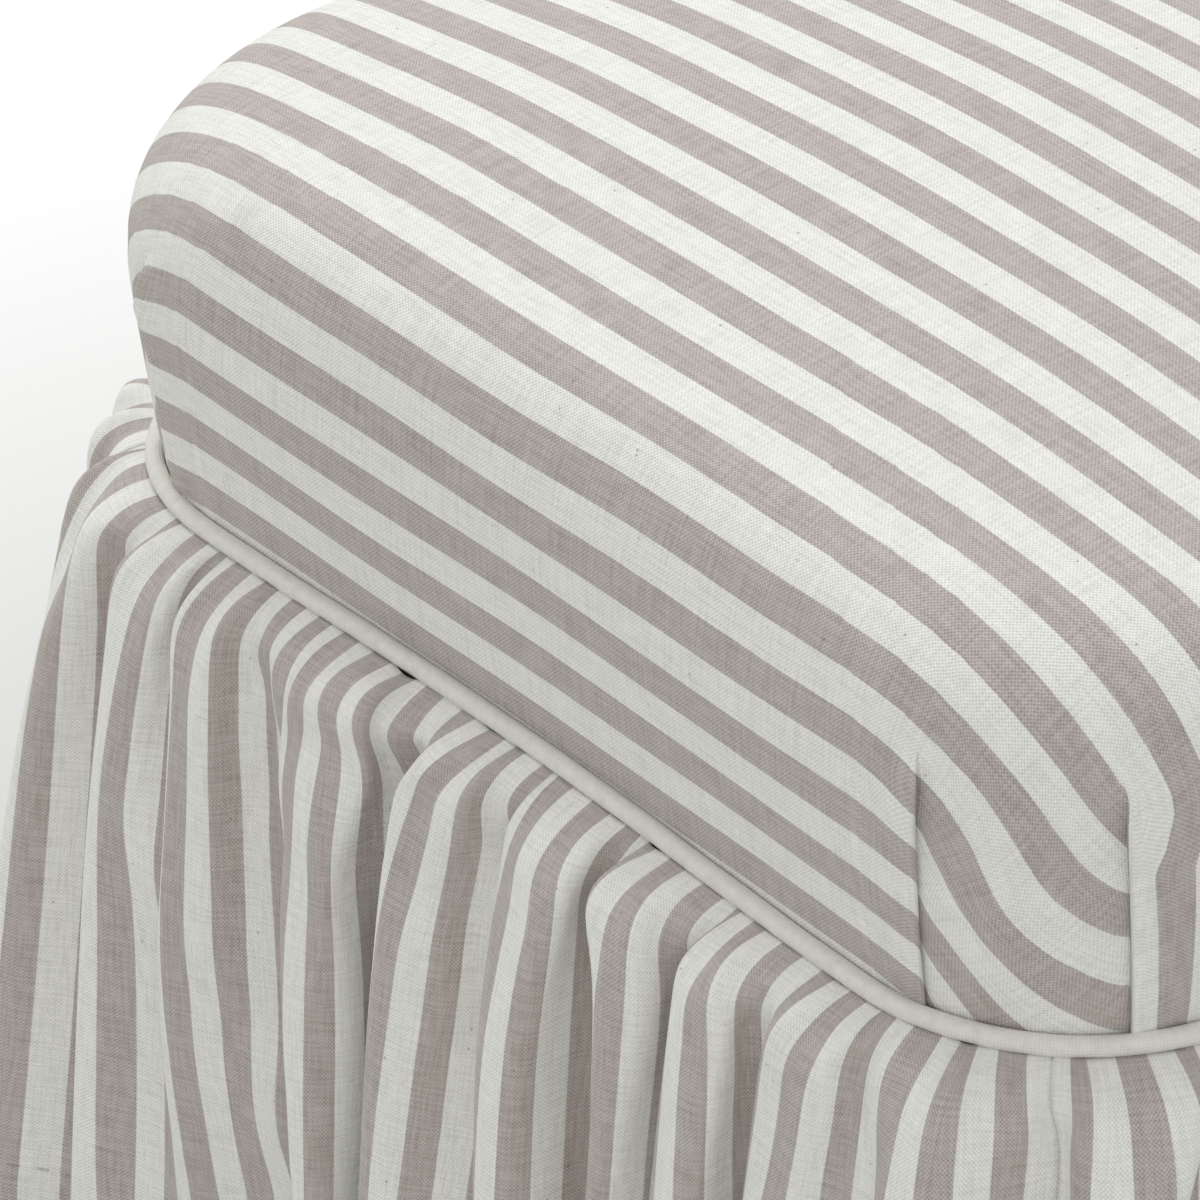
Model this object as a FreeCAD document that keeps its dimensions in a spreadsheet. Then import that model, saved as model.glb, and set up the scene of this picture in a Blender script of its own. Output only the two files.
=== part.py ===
import FreeCAD, Part

# Skirted ottoman: a square padded top with a striped cover, a welt and a gathered skirt,
# on a dowelled wooden frame with webbing, four hidden legs and a dust cover.
# The origin is on the floor under the middle, +Z is up and the front looks along -Y.

import math
import os

import Sketcher

Vector = FreeCAD.Vector
UP = Vector(0, 0, 1)
document = FreeCAD.newDocument("skirted_ottoman")
sizes = document.addObject("Spreadsheet::Sheet", "Sizes")

# Driving dimensions in millimetres, with counts and ratios at the end of each group.
DRIVING = (
    ("overall_height", "457", "floor to the top of the crown"),
    ("seat_span", "483", "side of the square plan at the welt line"),
    ("corner_radius", "81", "plan radius of the corners at the welt line"),
    ("welt_height", "302", "floor to the middle of the welt"),
    ("side_draw_in", "4", "how far each side is drawn in between its corners"),
    ("boxing_bulge", "7.5", "how far the boxing stands out past the welt line"),
    ("bulge_height", "73", "welt to the widest line of the boxing"),
    ("edge_rise", "53", "widest line to the rounded top edge"),
    ("shoulder_width", "34", "width of the rounded top edge in plan"),
    ("shoulder_squareness", "2.8", "power of the rounded edge's curve"),
    ("wall_curve", "1.4", "power of the boxing's curve above the welt"),
    ("crown_top_share", "0.08", "half width of the crown's flat middle, as a share"),
    ("soft_gap", "0.3", "clearance between soft layers"),
    ("cover_thickness", "1.2", "top cover cloth"),
    ("cover_tuck", "32", "depth of the cover's turn-down below the welt"),
    ("tuck_bend", "8", "depth below the welt where the turn-down lies flat"),
    ("batting_thickness", "8", "wrap over the foam"),
    ("apron_batting", "1", "wrap where it is thinnest, at the middle of a rail"),
    ("welt_diameter", "6.4", "welt over its casing"),
    ("welt_cloth", "0.9", "casing cloth"),
    ("welt_cord_gap", "0.1", "clearance of the cord in its casing"),
    ("welt_flange", "13", "casing's seam allowance, below the middle of the welt"),
    ("tack_strip_thickness", "1.2", "card strip"),
    ("tack_strip_width", "9", "card strip"),
    ("tack_strip_gap", "0.3", "clearance between the strip and what it lies on"),
    ("skirt_thickness", "1.6", "skirt cloth with its lining"),
    ("hem_height", "8", "floor to the hem"),
    ("heading_stand", "3.4", "mean stand-out of the skirt at its heading"),
    ("heading_fold", "0.045", "fold depth at the heading, as a share of half a fold's width"),
    ("puff_drop", "22", "welt to the gathers' puff"),
    ("puff_stand", "23", "mean stand-out of the puff"),
    ("puff_fold", "0.33", "fold depth at the puff, as such a share"),
    ("knee_drop", "90", "welt to the skirt's knee"),
    ("knee_stand", "27", "mean stand-out of the knee"),
    ("knee_fold", "0.38", "fold depth at the knee, as such a share"),
    ("hem_stand", "27", "mean stand-out of the hem"),
    ("hem_fold", "0.4", "fold depth at the hem, as such a share"),
    ("corner_flare", "0.25", "extra stand-out at the corners, as a share"),
    ("hem_flare", "0.8", "extra stand-out at the corners of the hem, as a share"),
    ("fold_unevenness", "0.12", "spread of the fold depths, as a share"),
    ("rail_rise", "28", "welt to the top of the rails"),
    ("rail_height", "95", "rail depth"),
    ("rail_thickness", "22", "rail stock"),
    ("dowel_diameter", "8", "frame dowels"),
    ("dowel_length", "50", "frame dowels"),
    ("dowel_edge", "24", "dowel to the rail's upper or lower edge"),
    ("dowel_gap", "0.05", "radial clearance of a dowel"),
    ("dowel_end_gap", "0.5", "hole depth left past a dowel's end"),
    ("leg_top", "48", "leg's square section at the frame"),
    ("leg_foot", "36", "leg's square section at the glide"),
    ("leg_edge", "3", "chamfer on the leg's long edges"),
    ("leg_inset", "1", "leg to the inner faces of its post"),
    ("bolt_diameter", "8", "hanger bolt"),
    ("bolt_in_leg", "38", "hanger bolt's wood thread"),
    ("bolt_in_insert", "18", "hanger bolt's machine thread"),
    ("bolt_gap", "0.05", "radial clearance of a hanger bolt"),
    ("insert_diameter", "13", "threaded insert"),
    ("insert_length", "20", "threaded insert"),
    ("insert_gap", "0.05", "radial clearance of an insert"),
    ("glide_diameter", "30", "glide"),
    ("glide_height", "6", "glide"),
    ("glide_edge", "1.5", "rounding of the glide's lower edge"),
    ("nail_diameter", "3", "glide nail"),
    ("nail_in_glide", "4", "glide nail's moulded end"),
    ("nail_in_leg", "16", "glide nail's driven end"),
    ("nail_gap", "0.05", "radial clearance of a nail"),
    ("dust_cover_thickness", "0.8", "cambric"),
    ("dust_cover_inset", "5", "frame edge to the cambric's edge"),
    ("dust_cover_hole_gap", "1", "radial clearance of the cambric round a bolt"),
    ("strap_width", "50", "webbing"),
    ("strap_thickness", "1.5", "webbing"),
    ("strap_pitch", "85", "webbing, middle to middle"),
    ("strap_inset", "4", "frame edge to a strap's end"),
    ("weave_gap", "0.2", "clearance between crossing straps"),
    ("strap_count", "4", "straps each way"),
    ("deck_cloth_thickness", "1", "deck cloth"),
    ("deck_cloth_inset", "4", "frame edge to the deck cloth's edge"),
    ("staple_width", "10", "staple crown"),
    ("staple_wire", "1.2", "staple wire"),
    ("staple_gap", "0.1", "clearance under a staple's crown on soft layers"),
    ("staple_leg", "8", "webbing, cover and dust cover staples"),
    ("skirt_staple_leg", "17", "skirt staples"),
    ("staple_pitch", "60", "staples along a rail"),
    ("strap_staple_pitch", "24", "staples across a strap's end"),
    ("staples_per_rail", "4", "skirt, cover and dust cover staples on each rail"),
    ("staples_per_strap_end", "2", "webbing staples"),
)
for row, (alias, value, meaning) in enumerate(DRIVING, start=1):
    sizes.set(f"A{row}", meaning)
    sizes.set(f"B{row}", value)
    sizes.setAlias(f"B{row}", alias)
document.recompute()


def number(expression):
    return float(sizes.evalExpression(expression))


def size(alias):
    return float(sizes.get(alias))


# Places worked out from the driving dimensions, as expressions of the sheet.
# The layers at the welt, from outside in: welt, cover, batting, rail.
HALF_SPAN = "(Sizes.seat_span / 2)"
COVER_SEAT = "(Sizes.welt_diameter / 2 + Sizes.soft_gap)"
BATTING_SEAT = f"({COVER_SEAT} + Sizes.cover_thickness + Sizes.soft_gap)"
FRAME_INSET = f"({BATTING_SEAT} + Sizes.side_draw_in + Sizes.apron_batting + Sizes.soft_gap)"
FRAME_HALF = f"({HALF_SPAN} - {FRAME_INSET})"
CORNER_CENTRE = f"({HALF_SPAN} - Sizes.corner_radius)"
POST_RADIUS = f"(Sizes.corner_radius - {FRAME_INSET})"
RAIL_TOP = "(Sizes.welt_height + Sizes.rail_rise)"
FRAME_FLOOR = f"({RAIL_TOP} - Sizes.rail_height)"
RAIL_MIDDLE = f"({FRAME_HALF} - Sizes.rail_thickness / 2)"
DUST_COVER_LOW = f"({FRAME_FLOOR} - Sizes.dust_cover_thickness)"
LEG_PLACE = f"({CORNER_CENTRE} + Sizes.leg_inset + Sizes.leg_top / 2)"
LEG_LENGTH = f"({DUST_COVER_LOW} - Sizes.glide_height)"
DECK_CLOTH_LOW = f"({RAIL_TOP} + 2 * Sizes.strap_thickness + 2 * Sizes.weave_gap)"
DECK_CLOTH_TOP = f"({DECK_CLOTH_LOW} + Sizes.deck_cloth_thickness)"

SIDES = ("front", "right", "back", "left")
CORNERS = ("front_left", "front_right", "back_right", "back_left")
QUARTER_TURN = 90
subparts = []


def keep(piece, label):
    piece.Label = label
    subparts.append(piece)
    return piece


def quarter_turns(count):
    return FreeCAD.Placement(Vector(0, 0, 0), FreeCAD.Rotation(UP, count * QUARTER_TURN))


# Sketches and features

def sketch(body, plane, height=None):
    drawing = body.newObject("Sketcher::SketchObject", body.Name + "_sketch")
    support = next(item for item in body.Origin.OriginFeatures if item.Role == plane)
    drawing.AttachmentSupport = [(support, "")]
    drawing.MapMode = "FlatFace"
    if height:
        drawing.setExpression("AttachmentOffset.Base.z", height)
    return drawing


def bind(drawing, kind, places, expression):
    index = drawing.addConstraint(Sketcher.Constraint(kind, *places, number(expression)))
    drawing.renameConstraint(index, f"size_{index}")
    drawing.setExpression(f"Constraints.size_{index}", expression)


def rectangle(drawing, left, low, width, height):
    x0, y0 = number(left), number(low)
    x1, y1 = x0 + number(width), y0 + number(height)
    corners = [Vector(x0, y0), Vector(x1, y0), Vector(x1, y1), Vector(x0, y1)]
    for k in range(4):
        drawing.addGeometry(Part.LineSegment(corners[k], corners[(k + 1) % 4]))
    for k in range(4):
        drawing.addConstraint(Sketcher.Constraint("Coincident", k, 2, (k + 1) % 4, 1))
    for k in (0, 2):
        drawing.addConstraint(Sketcher.Constraint("Horizontal", k))
        drawing.addConstraint(Sketcher.Constraint("Vertical", k + 1))
    bind(drawing, "DistanceX", (-1, 1, 0, 1), left)
    bind(drawing, "DistanceY", (-1, 1, 0, 1), low)
    bind(drawing, "DistanceX", (0, 1, 0, 2), width)
    bind(drawing, "DistanceY", (1, 1, 1, 2), height)


def circle(drawing, across, along, radius):
    middle = Vector(number(across), number(along))
    index = drawing.addGeometry(Part.Circle(middle, UP, number(radius)))
    bind(drawing, "DistanceX", (-1, 1, index, 3), across)
    bind(drawing, "DistanceY", (-1, 1, index, 3), along)
    bind(drawing, "Radius", (index,), radius)


def pad(body, drawing, length, side="One side"):
    feature = body.newObject("PartDesign::Pad", body.Name + "_pad")
    feature.Profile = drawing
    feature.SideType = side
    feature.setExpression("Length", length)
    return feature


def pocket(body, drawing, depth, along_normal=False):
    feature = body.newObject("PartDesign::Pocket", body.Name + "_pocket")
    feature.Profile = drawing
    feature.Reversed = along_normal
    feature.setExpression("Length", depth)
    return feature


def ease_edges(body, base, kind, amount, chosen):
    document.recompute()
    names = [f"Edge{k}" for k, edge in enumerate(base.Shape.Edges, start=1) if chosen(edge)]
    feature = body.newObject("PartDesign::" + kind, body.Name + "_edges")
    feature.Base = (base, names)
    feature.setExpression("Radius" if kind == "Fillet" else "Size", amount)
    return feature


def upright(edge):
    ends = edge.Vertexes
    return abs(ends[0].Z - ends[-1].Z) > edge.Length / 2


def level_at(height):
    return lambda edge: abs(edge.BoundBox.ZMin - height) + abs(edge.BoundBox.ZMax - height) < 1e-6


def cylinder(radius, height, place, axis=UP):
    piece = document.addObject("Part::Cylinder", "cylinder")
    piece.setExpression("Radius", radius)
    piece.setExpression("Height", height)
    piece.Placement = FreeCAD.Placement(Vector(0, 0, 0), FreeCAD.Rotation(UP, axis))
    for letter, expression in zip("xyz", place):
        piece.setExpression(f"Placement.Base.{letter}", expression)
    return piece


def turned(x, y, count):
    for _ in range(count):
        x, y = f"-({y})", x
    return x, y


def group(pieces, label):
    bundle = document.addObject("Part::Compound", label)
    bundle.Links = pieces
    return keep(bundle, label)


def fixed_shape(shape, label, turns=0):
    piece = document.addObject("Part::Feature", label)
    piece.Shape = shape
    piece.Placement = quarter_turns(turns)
    return keep(piece, label)


def cut_by(base, staples, label):
    slots = document.addObject("Part::Feature", label + "_slots")
    slots.Shape = staples
    piece = document.addObject("Part::Cut", label)
    piece.Base = base
    piece.Tool = slots
    return keep(piece, label)


# Plan outlines: four round corners joined by sides that are drawn in between them

SETTLING_ROUNDS = 12


def outline(half, radius, draw, height):
    centre = half - radius
    lean = 0.0
    if draw > 0:
        for _ in range(SETTLING_ROUNDS):
            lean = 2 * math.atan(draw / (centre - radius * math.sin(lean)))
    start = Vector(centre + radius * math.cos(lean), centre - radius * math.sin(lean), height)
    middle = Vector(centre + radius / math.sqrt(2), centre + radius / math.sqrt(2), height)
    end = Vector(start.y, start.x, height)
    far_end = Vector(-end.x, end.y, height)
    corner = Part.Arc(start, middle, end).toShape()
    if draw > 0:
        side = Part.Arc(end, Vector(0, end.y - draw, height), far_end).toShape()
    else:
        side = Part.LineSegment(end, far_end).toShape()
    edges = []
    for count in range(4):
        for edge in (corner, side):
            edges.append(edge.copy())
            edges[-1].Placement = quarter_turns(count)
    return Part.Wire(edges)


def band(outer_half, inner_half, radius_inset, low, height, draw):
    radius = size("corner_radius")
    outer = outline(outer_half, radius - radius_inset, draw, low)
    inner = outline(inner_half, radius - radius_inset - (outer_half - inner_half), draw, low)
    ring = Part.Face(outer).cut(Part.Face(inner))
    return ring.extrude(Vector(0, 0, height))


# Padded top: the boxing swells out from the welt, rolls over a rounded edge and rises to a crown

WALL_STEPS = 6
CROWN_STEPS = 16
CROWN_SPACING = 2.2
CORNER_SOFTENING = 0.7


def boxing_stand(height):
    short = max(0, 1 - height / size("bulge_height"))
    reach = size("boxing_bulge") + number(COVER_SEAT)
    return size("boxing_bulge") - reach * short ** size("wall_curve")


def boxing_sections(depth, draw, lowest):
    sections = []
    for step in range(WALL_STEPS + 1):
        height = lowest + (size("bulge_height") - lowest) * step / WALL_STEPS
        stand = boxing_stand(height) - depth
        radius = size("corner_radius") + stand
        sections.append(outline(number(HALF_SPAN) + stand, radius, draw, size("welt_height") + height))
    return sections


def crown_sections(depth, draw):
    widest = number(HALF_SPAN) + size("boxing_bulge")
    edge_roundness = (size("corner_radius") + size("boxing_bulge")) / widest
    power = size("shoulder_squareness")
    crown = size("overall_height") - size("welt_height") - size("bulge_height") - size("edge_rise")
    reach = 1 - size("crown_top_share")
    sections = []
    for step in range(1, CROWN_STEPS + 1):
        share = reach * (step / CROWN_STEPS) ** CROWN_SPACING
        roll = min(share * widest / size("shoulder_width"), 1)
        lift = (1 - (1 - roll) ** power) ** (1 / power)
        dome = (1 - (1 - share) ** 2) / (1 - (1 - reach) ** 2)
        height = size("bulge_height") + size("edge_rise") * lift + crown * dome - depth * lift
        half = widest * (1 - share) - depth
        roundness = edge_roundness + (1 - edge_roundness) * share ** CORNER_SOFTENING
        drawn = draw * max(0, 1 - share * widest / (2 * size("shoulder_width")))
        sections.append(outline(half, half * roundness, drawn, size("welt_height") + height))
    return sections


def padded_form(depth, draw, lowest):
    return Part.makeLoft(boxing_sections(depth, draw, lowest) + crown_sections(depth, draw), True, True)


TUCK_HALF = f"({FRAME_HALF} + Sizes.soft_gap + Sizes.cover_thickness)"


def cover_form(depth):
    half = number(TUCK_HALF) - depth
    radius = half - number(CORNER_CENTRE)
    drops = (size("cover_tuck"), size("tuck_bend"))
    tuck = [outline(half, radius, 0, size("welt_height") - drop) for drop in drops]
    draw = size("side_draw_in")
    return Part.makeLoft(tuck + boxing_sections(depth, draw, 0) + crown_sections(depth, draw), True, True)


def top_cover_shape():
    return cover_form(0).cut(cover_form(size("cover_thickness")))


FOAM_DEPTH = "(Sizes.cover_thickness + Sizes.batting_thickness + 2 * Sizes.soft_gap)"


def foam_shape(clearance):
    lowest = number(DECK_CLOTH_TOP) + size("soft_gap") - size("welt_height")
    return padded_form(number(FOAM_DEPTH) - clearance, 0, lowest)


def batting_shape():
    depth = size("cover_thickness") + size("soft_gap")
    wrap = padded_form(depth, size("side_draw_in"), 0)
    low = size("welt_height")
    clear_half = number(FRAME_HALF) + size("soft_gap")
    frame = outline(clear_half, clear_half - number(CORNER_CENTRE), 0, low)
    frame_room = Part.Face(frame).extrude(Vector(0, 0, number(DECK_CLOTH_TOP) + size("soft_gap") - low))
    return wrap.cut(foam_shape(size("soft_gap"))).cut(frame_room)


# Welt: a cord in a casing whose seam allowance hangs down behind the card strip

def swept_round(section):
    path = outline(number(HALF_SPAN), size("corner_radius"), size("side_draw_in"), size("welt_height"))
    return path.makePipeShell([section], True, False)


def welt_start():
    path = outline(number(HALF_SPAN), size("corner_radius"), size("side_draw_in"), size("welt_height"))
    first = path.OrderedEdges[0]
    along = first.tangentAt(first.FirstParameter)
    return path.OrderedVertexes[0].Point, along, along.cross(UP)


def welt_circle(radius):
    middle, along, _ = welt_start()
    return Part.Wire([Part.makeCircle(radius, middle, along)])


def welt_bore():
    return size("welt_diameter") / 2 - size("welt_cloth")


def welt_casing_shape():
    middle, _, outward = welt_start()
    radius = size("welt_diameter") / 2
    inside = radius - size("welt_cloth")
    low = size("welt_flange")

    def spot(out, up):
        return middle + outward * out + UP * up

    meet = -math.sqrt(radius ** 2 - inside ** 2)
    section = Part.Wire([
        Part.LineSegment(spot(-radius, 0), spot(-radius, -low)).toShape(),
        Part.LineSegment(spot(-radius, -low), spot(-inside, -low)).toShape(),
        Part.LineSegment(spot(-inside, -low), spot(-inside, meet)).toShape(),
        Part.Arc(spot(-inside, meet), spot(0, -radius), spot(radius, 0)).toShape(),
        Part.Arc(spot(radius, 0), spot(0, radius), spot(-radius, 0)).toShape(),
    ])
    return swept_round(section).cut(swept_round(welt_circle(welt_bore())))


# The card strip lies against the outside of the casing's seam allowance.
STRIP_INNER = "(Sizes.welt_diameter / 2 - Sizes.welt_cloth - Sizes.tack_strip_gap)"
STRIP_OUTER = f"({STRIP_INNER} - Sizes.tack_strip_thickness)"
WELT_LOW = "(Sizes.welt_height - Sizes.welt_diameter / 2 - Sizes.soft_gap)"
STRIP_LOW = f"({WELT_LOW} - Sizes.tack_strip_width)"
STRIP_MIDDLE = f"({WELT_LOW} - Sizes.tack_strip_width / 2)"


def tack_strip_shape():
    half = number(HALF_SPAN)
    outer = half - number(STRIP_OUTER)
    inner = half - number(STRIP_INNER)
    width = size("tack_strip_width")
    return band(outer, inner, number(STRIP_OUTER), number(STRIP_LOW), width, size("side_draw_in"))


# Skirt panels: gathered folds that puff out under the welt and deepen towards the hem

PANEL_LENGTH = f"(2 * {CORNER_CENTRE} + Sizes.corner_radius * pi / 2)"
FOLD_WEIGHTS = (47, 33, 35, 75, 50, 43, 45, 38, 36, 47)


def skirt_base(share, draw):
    centre = number(CORNER_CENTRE)
    eighth = size("corner_radius") * math.pi / 4
    length = share * number(PANEL_LENGTH) - eighth
    if 0 <= length <= 2 * centre:
        across = length - centre
        sag = draw * (1 - (across / centre) ** 2)
        return Vector(across, -number(HALF_SPAN) + sag, 0), Vector(0, -1, 0), 0.0
    past = max(-length, length - 2 * centre) / eighth
    side = -1 if length < 0 else 1
    angle = math.radians(QUARTER_TURN * (3 + side * past / 2))
    outward = Vector(math.cos(angle), math.sin(angle), 0)
    middle = Vector(side * centre, -centre, 0)
    return middle + outward * size("corner_radius"), outward, past


def skirt_wave():
    total = sum(FOLD_WEIGHTS)
    first, last = FOLD_WEIGHTS[0], FOLD_WEIGHTS[-1]
    wave = [(0, first, -1), (first / 8, first, -math.sqrt(0.5))]
    start = 0
    for weight, following in zip(FOLD_WEIGHTS, FOLD_WEIGHTS[1:] + (last,)):
        wave += [(start + part * weight, weight, rise) for part, rise in ((0.25, 0), (0.5, 1), (0.75, 0))]
        start += weight
        wave.append((start, (weight + following) / 2, -1))
    wave.insert(-1, (total - last / 8, last, -math.sqrt(0.5)))
    return [(along / total, width / total, rise) for along, width, rise in wave]


def skirt_section(height, stand, flare, fold, draw):
    outer, inner = [], []
    for step, (share, width, rise) in enumerate(skirt_wave()):
        point, outward, corner = skirt_base(share, draw)
        depth = stand * (1 + flare * corner)
        uneven = 1 + size("fold_unevenness") * math.sin(step) if rise > 0 else 1
        depth += rise * uneven * fold * width * number(PANEL_LENGTH) / 2
        outer.append(point + outward * depth + UP * height)
        inner.append(point + outward * (depth - size("skirt_thickness")) + UP * height)
    edges = [Part.Arc(*outer[k:k + 3]).toShape() for k in range(0, len(outer) - 1, 2)]
    edges.append(Part.LineSegment(outer[-1], inner[-1]).toShape())
    inner.reverse()
    edges += [Part.Arc(*inner[k:k + 3]).toShape() for k in range(0, len(inner) - 1, 2)]
    edges.append(Part.LineSegment(inner[-1], outer[0]).toShape())
    return Part.Wire(edges)


def skirt_panel_shape():
    welt = size("welt_height")
    draw = size("side_draw_in")
    flare = size("corner_flare")
    return Part.makeLoft([
        skirt_section(number(WELT_LOW), size("heading_stand"), flare, size("heading_fold"), draw),
        skirt_section(welt - size("puff_drop"), size("puff_stand"), flare, size("puff_fold"), draw),
        skirt_section(welt - size("knee_drop"), size("knee_stand"), flare, size("knee_fold"), 0),
        skirt_section(size("hem_height"), size("hem_stand"), size("hem_flare"), size("hem_fold"), 0),
    ], True, True)


# Staples: one wire form, driven through what they hold and into the wood

def staple(leg):
    wire = size("staple_wire")
    width = size("staple_width")
    crown = Part.makeBox(width, wire, wire, Vector(-width / 2, -wire / 2, 0))
    legs = [Part.makeBox(wire, wire, leg, Vector(x, -wire / 2, -leg)) for x in (-width / 2, width / 2 - wire)]
    return crown.multiFuse(legs).removeSplitter()


def spread(count, pitch):
    return [(k - (count - 1) / 2) * pitch for k in range(int(count))]


def set_staple(form, place, rotation, turns):
    piece = form.copy()
    piece.Placement = quarter_turns(turns).multiply(FreeCAD.Placement(place, rotation))
    return piece


FACING_OUT = FreeCAD.Rotation(Vector(1, 0, 0), 90)
FACING_DOWN = FreeCAD.Rotation(Vector(1, 0, 0), 180)
TO_CORNER = FreeCAD.Rotation(UP, -45)


def strap_staples(turns):
    form = staple(size("staple_leg"))
    top = number(RAIL_TOP) + size("strap_thickness")
    pieces = []
    for strap in spread(size("strap_count"), size("strap_pitch")):
        for step in spread(size("staples_per_strap_end"), size("strap_staple_pitch")):
            place = Vector(strap + step, -number(RAIL_MIDDLE), top)
            pieces.append(set_staple(form, place, FreeCAD.Rotation(), turns))
    return pieces


def rail_staples(leg, half, draw, height, rotation, turns):
    form = staple(leg)
    pieces = []
    for across in spread(size("staples_per_rail"), size("staple_pitch")):
        sag = draw * (1 - (across / number(CORNER_CENTRE)) ** 2)
        pieces.append(set_staple(form, Vector(across, -half + sag, height), rotation, turns))
    return pieces


def post_staple(leg, half, height, turns):
    centre = number(CORNER_CENTRE)
    place = -(centre + (half - centre) / math.sqrt(2))
    return [set_staple(staple(leg), Vector(place, place, height), TO_CORNER.multiply(FACING_OUT), turns)]


COVER_STAPLE_HEIGHT = "(Sizes.welt_height - (Sizes.welt_flange + Sizes.cover_tuck) / 2)"
skirt_leg, short_leg = size("skirt_staple_leg"), size("staple_leg")
strip_half = number(HALF_SPAN) - number(STRIP_OUTER) + size("staple_gap")
tuck_half = number(TUCK_HALF) + size("staple_gap")
strip_middle, tuck_middle = number(STRIP_MIDDLE), number(COVER_STAPLE_HEIGHT)
in_rails = {"webbing": [], "skirt": [], "cover": [], "dust_cover": []}
in_posts = {"skirt": [], "cover": []}
for turns in range(4):
    in_rails["webbing"].append(strap_staples(turns))
    in_rails["skirt"].append(
        rail_staples(skirt_leg, strip_half, size("side_draw_in"), strip_middle, FACING_OUT, turns))
    in_rails["cover"].append(rail_staples(short_leg, tuck_half, 0, tuck_middle, FACING_OUT, turns))
    in_rails["dust_cover"].append(
        rail_staples(short_leg, number(RAIL_MIDDLE), 0, number(DUST_COVER_LOW), FACING_DOWN, turns))
    in_posts["skirt"].append(post_staple(skirt_leg, strip_half, strip_middle, turns))
    in_posts["cover"].append(post_staple(short_leg, tuck_half, tuck_middle, turns))


def staples_of(kind):
    rows = in_rails[kind] + in_posts.get(kind, [])
    return Part.makeCompound([piece for row in rows for piece in row])


def staples_at(places, turns):
    return Part.makeCompound([piece for rows in places.values() for piece in rows[turns]])


for kind in in_rails:
    fixed_shape(staples_of(kind), kind + "_staples")


# Frame: rails butt against quarter-round posts, with two dowels in each joint

DOWEL_HOLE = "(Sizes.dowel_diameter / 2 + Sizes.dowel_gap)"
DOWEL_DEPTH = "(Sizes.dowel_length / 2 + Sizes.dowel_end_gap)"
DOWEL_HEIGHTS = (
    f"({FRAME_FLOOR} + Sizes.dowel_edge)",
    f"({RAIL_TOP} - Sizes.dowel_edge)",
)


def rail(side, turns):
    body = document.addObject("PartDesign::Body", side + "_rail_blank")
    section = sketch(body, "YZ_Plane")
    rectangle(section, f"-{FRAME_HALF}", FRAME_FLOOR, "Sizes.rail_thickness", "Sizes.rail_height")
    pad(body, section, f"2 * {CORNER_CENTRE}", "Symmetric")
    holes = sketch(body, "YZ_Plane", CORNER_CENTRE)
    for height in DOWEL_HEIGHTS:
        circle(holes, f"-{RAIL_MIDDLE}", height, DOWEL_HOLE)
    drilled = pocket(body, holes, DOWEL_DEPTH)
    mirrored = body.newObject("PartDesign::Mirrored", body.Name + "_mirror")
    mirrored.Originals = [drilled]
    mirrored.MirrorPlane = (next(f for f in body.Origin.OriginFeatures if f.Role == "YZ_Plane"), [""])
    body.Tip = mirrored
    body.Placement = quarter_turns(turns)
    return cut_by(body, staples_at(in_rails, turns), side + "_rail")


def corner_post(corner, turns):
    body = document.addObject("PartDesign::Body", corner + "_post_blank")
    section = sketch(body, "XY_Plane", FRAME_FLOOR)
    centre = Vector(-number(CORNER_CENTRE), -number(CORNER_CENTRE))
    radius = number(POST_RADIUS)
    round_face = Part.Circle(centre, UP, radius)
    section.addGeometry(Part.ArcOfCircle(round_face, math.pi, 1.5 * math.pi))
    section.addGeometry(Part.LineSegment(centre, centre + Vector(-radius, 0)))
    section.addGeometry(Part.LineSegment(centre + Vector(0, -radius), centre))
    for places in ((1, 2, 0, 1), (2, 1, 0, 2), (1, 1, 0, 3), (2, 2, 0, 3)):
        section.addConstraint(Sketcher.Constraint("Coincident", *places))
    section.addConstraint(Sketcher.Constraint("Horizontal", 1))
    section.addConstraint(Sketcher.Constraint("Vertical", 2))
    bind(section, "DistanceX", (-1, 1, 0, 3), f"-{CORNER_CENTRE}")
    bind(section, "DistanceY", (-1, 1, 0, 3), f"-{CORNER_CENTRE}")
    bind(section, "Radius", (0,), POST_RADIUS)
    pad(body, section, "Sizes.rail_height")
    front_holes = sketch(body, "YZ_Plane", f"-{CORNER_CENTRE}")
    side_holes = sketch(body, "XZ_Plane", CORNER_CENTRE)
    for holes in (front_holes, side_holes):
        for height in DOWEL_HEIGHTS:
            circle(holes, f"-{RAIL_MIDDLE}", height, DOWEL_HOLE)
    pocket(body, front_holes, DOWEL_DEPTH)
    pocket(body, side_holes, DOWEL_DEPTH, along_normal=True)
    insert_hole = sketch(body, "XY_Plane", FRAME_FLOOR)
    circle(insert_hole, f"-{LEG_PLACE}", f"-{LEG_PLACE}", "Sizes.insert_diameter / 2 + Sizes.insert_gap")
    pocket(body, insert_hole, "Sizes.insert_length", along_normal=True)
    body.Placement = quarter_turns(turns)
    return cut_by(body, staples_at(in_posts, turns), corner + "_post")


def frame_dowels():
    pieces = []
    for turns in range(4):
        for end in ("-", ""):
            for height in DOWEL_HEIGHTS:
                start = f"({end}{CORNER_CENTRE} - Sizes.dowel_length / 2)"
                x, y = turned(start, f"-{RAIL_MIDDLE}", turns)
                axis = quarter_turns(turns).multVec(Vector(1, 0, 0))
                place = (x, y, height)
                pieces.append(cylinder("Sizes.dowel_diameter / 2", "Sizes.dowel_length", place, axis))
    return group(pieces, "frame_dowels")


for turns, side in enumerate(SIDES):
    rail(side, turns)
for turns, corner in enumerate(CORNERS):
    corner_post(corner, turns)
frame_dowels()


# Legs: tapered and bolted up through the dust cover into threaded inserts, each on a nailed glide

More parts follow.
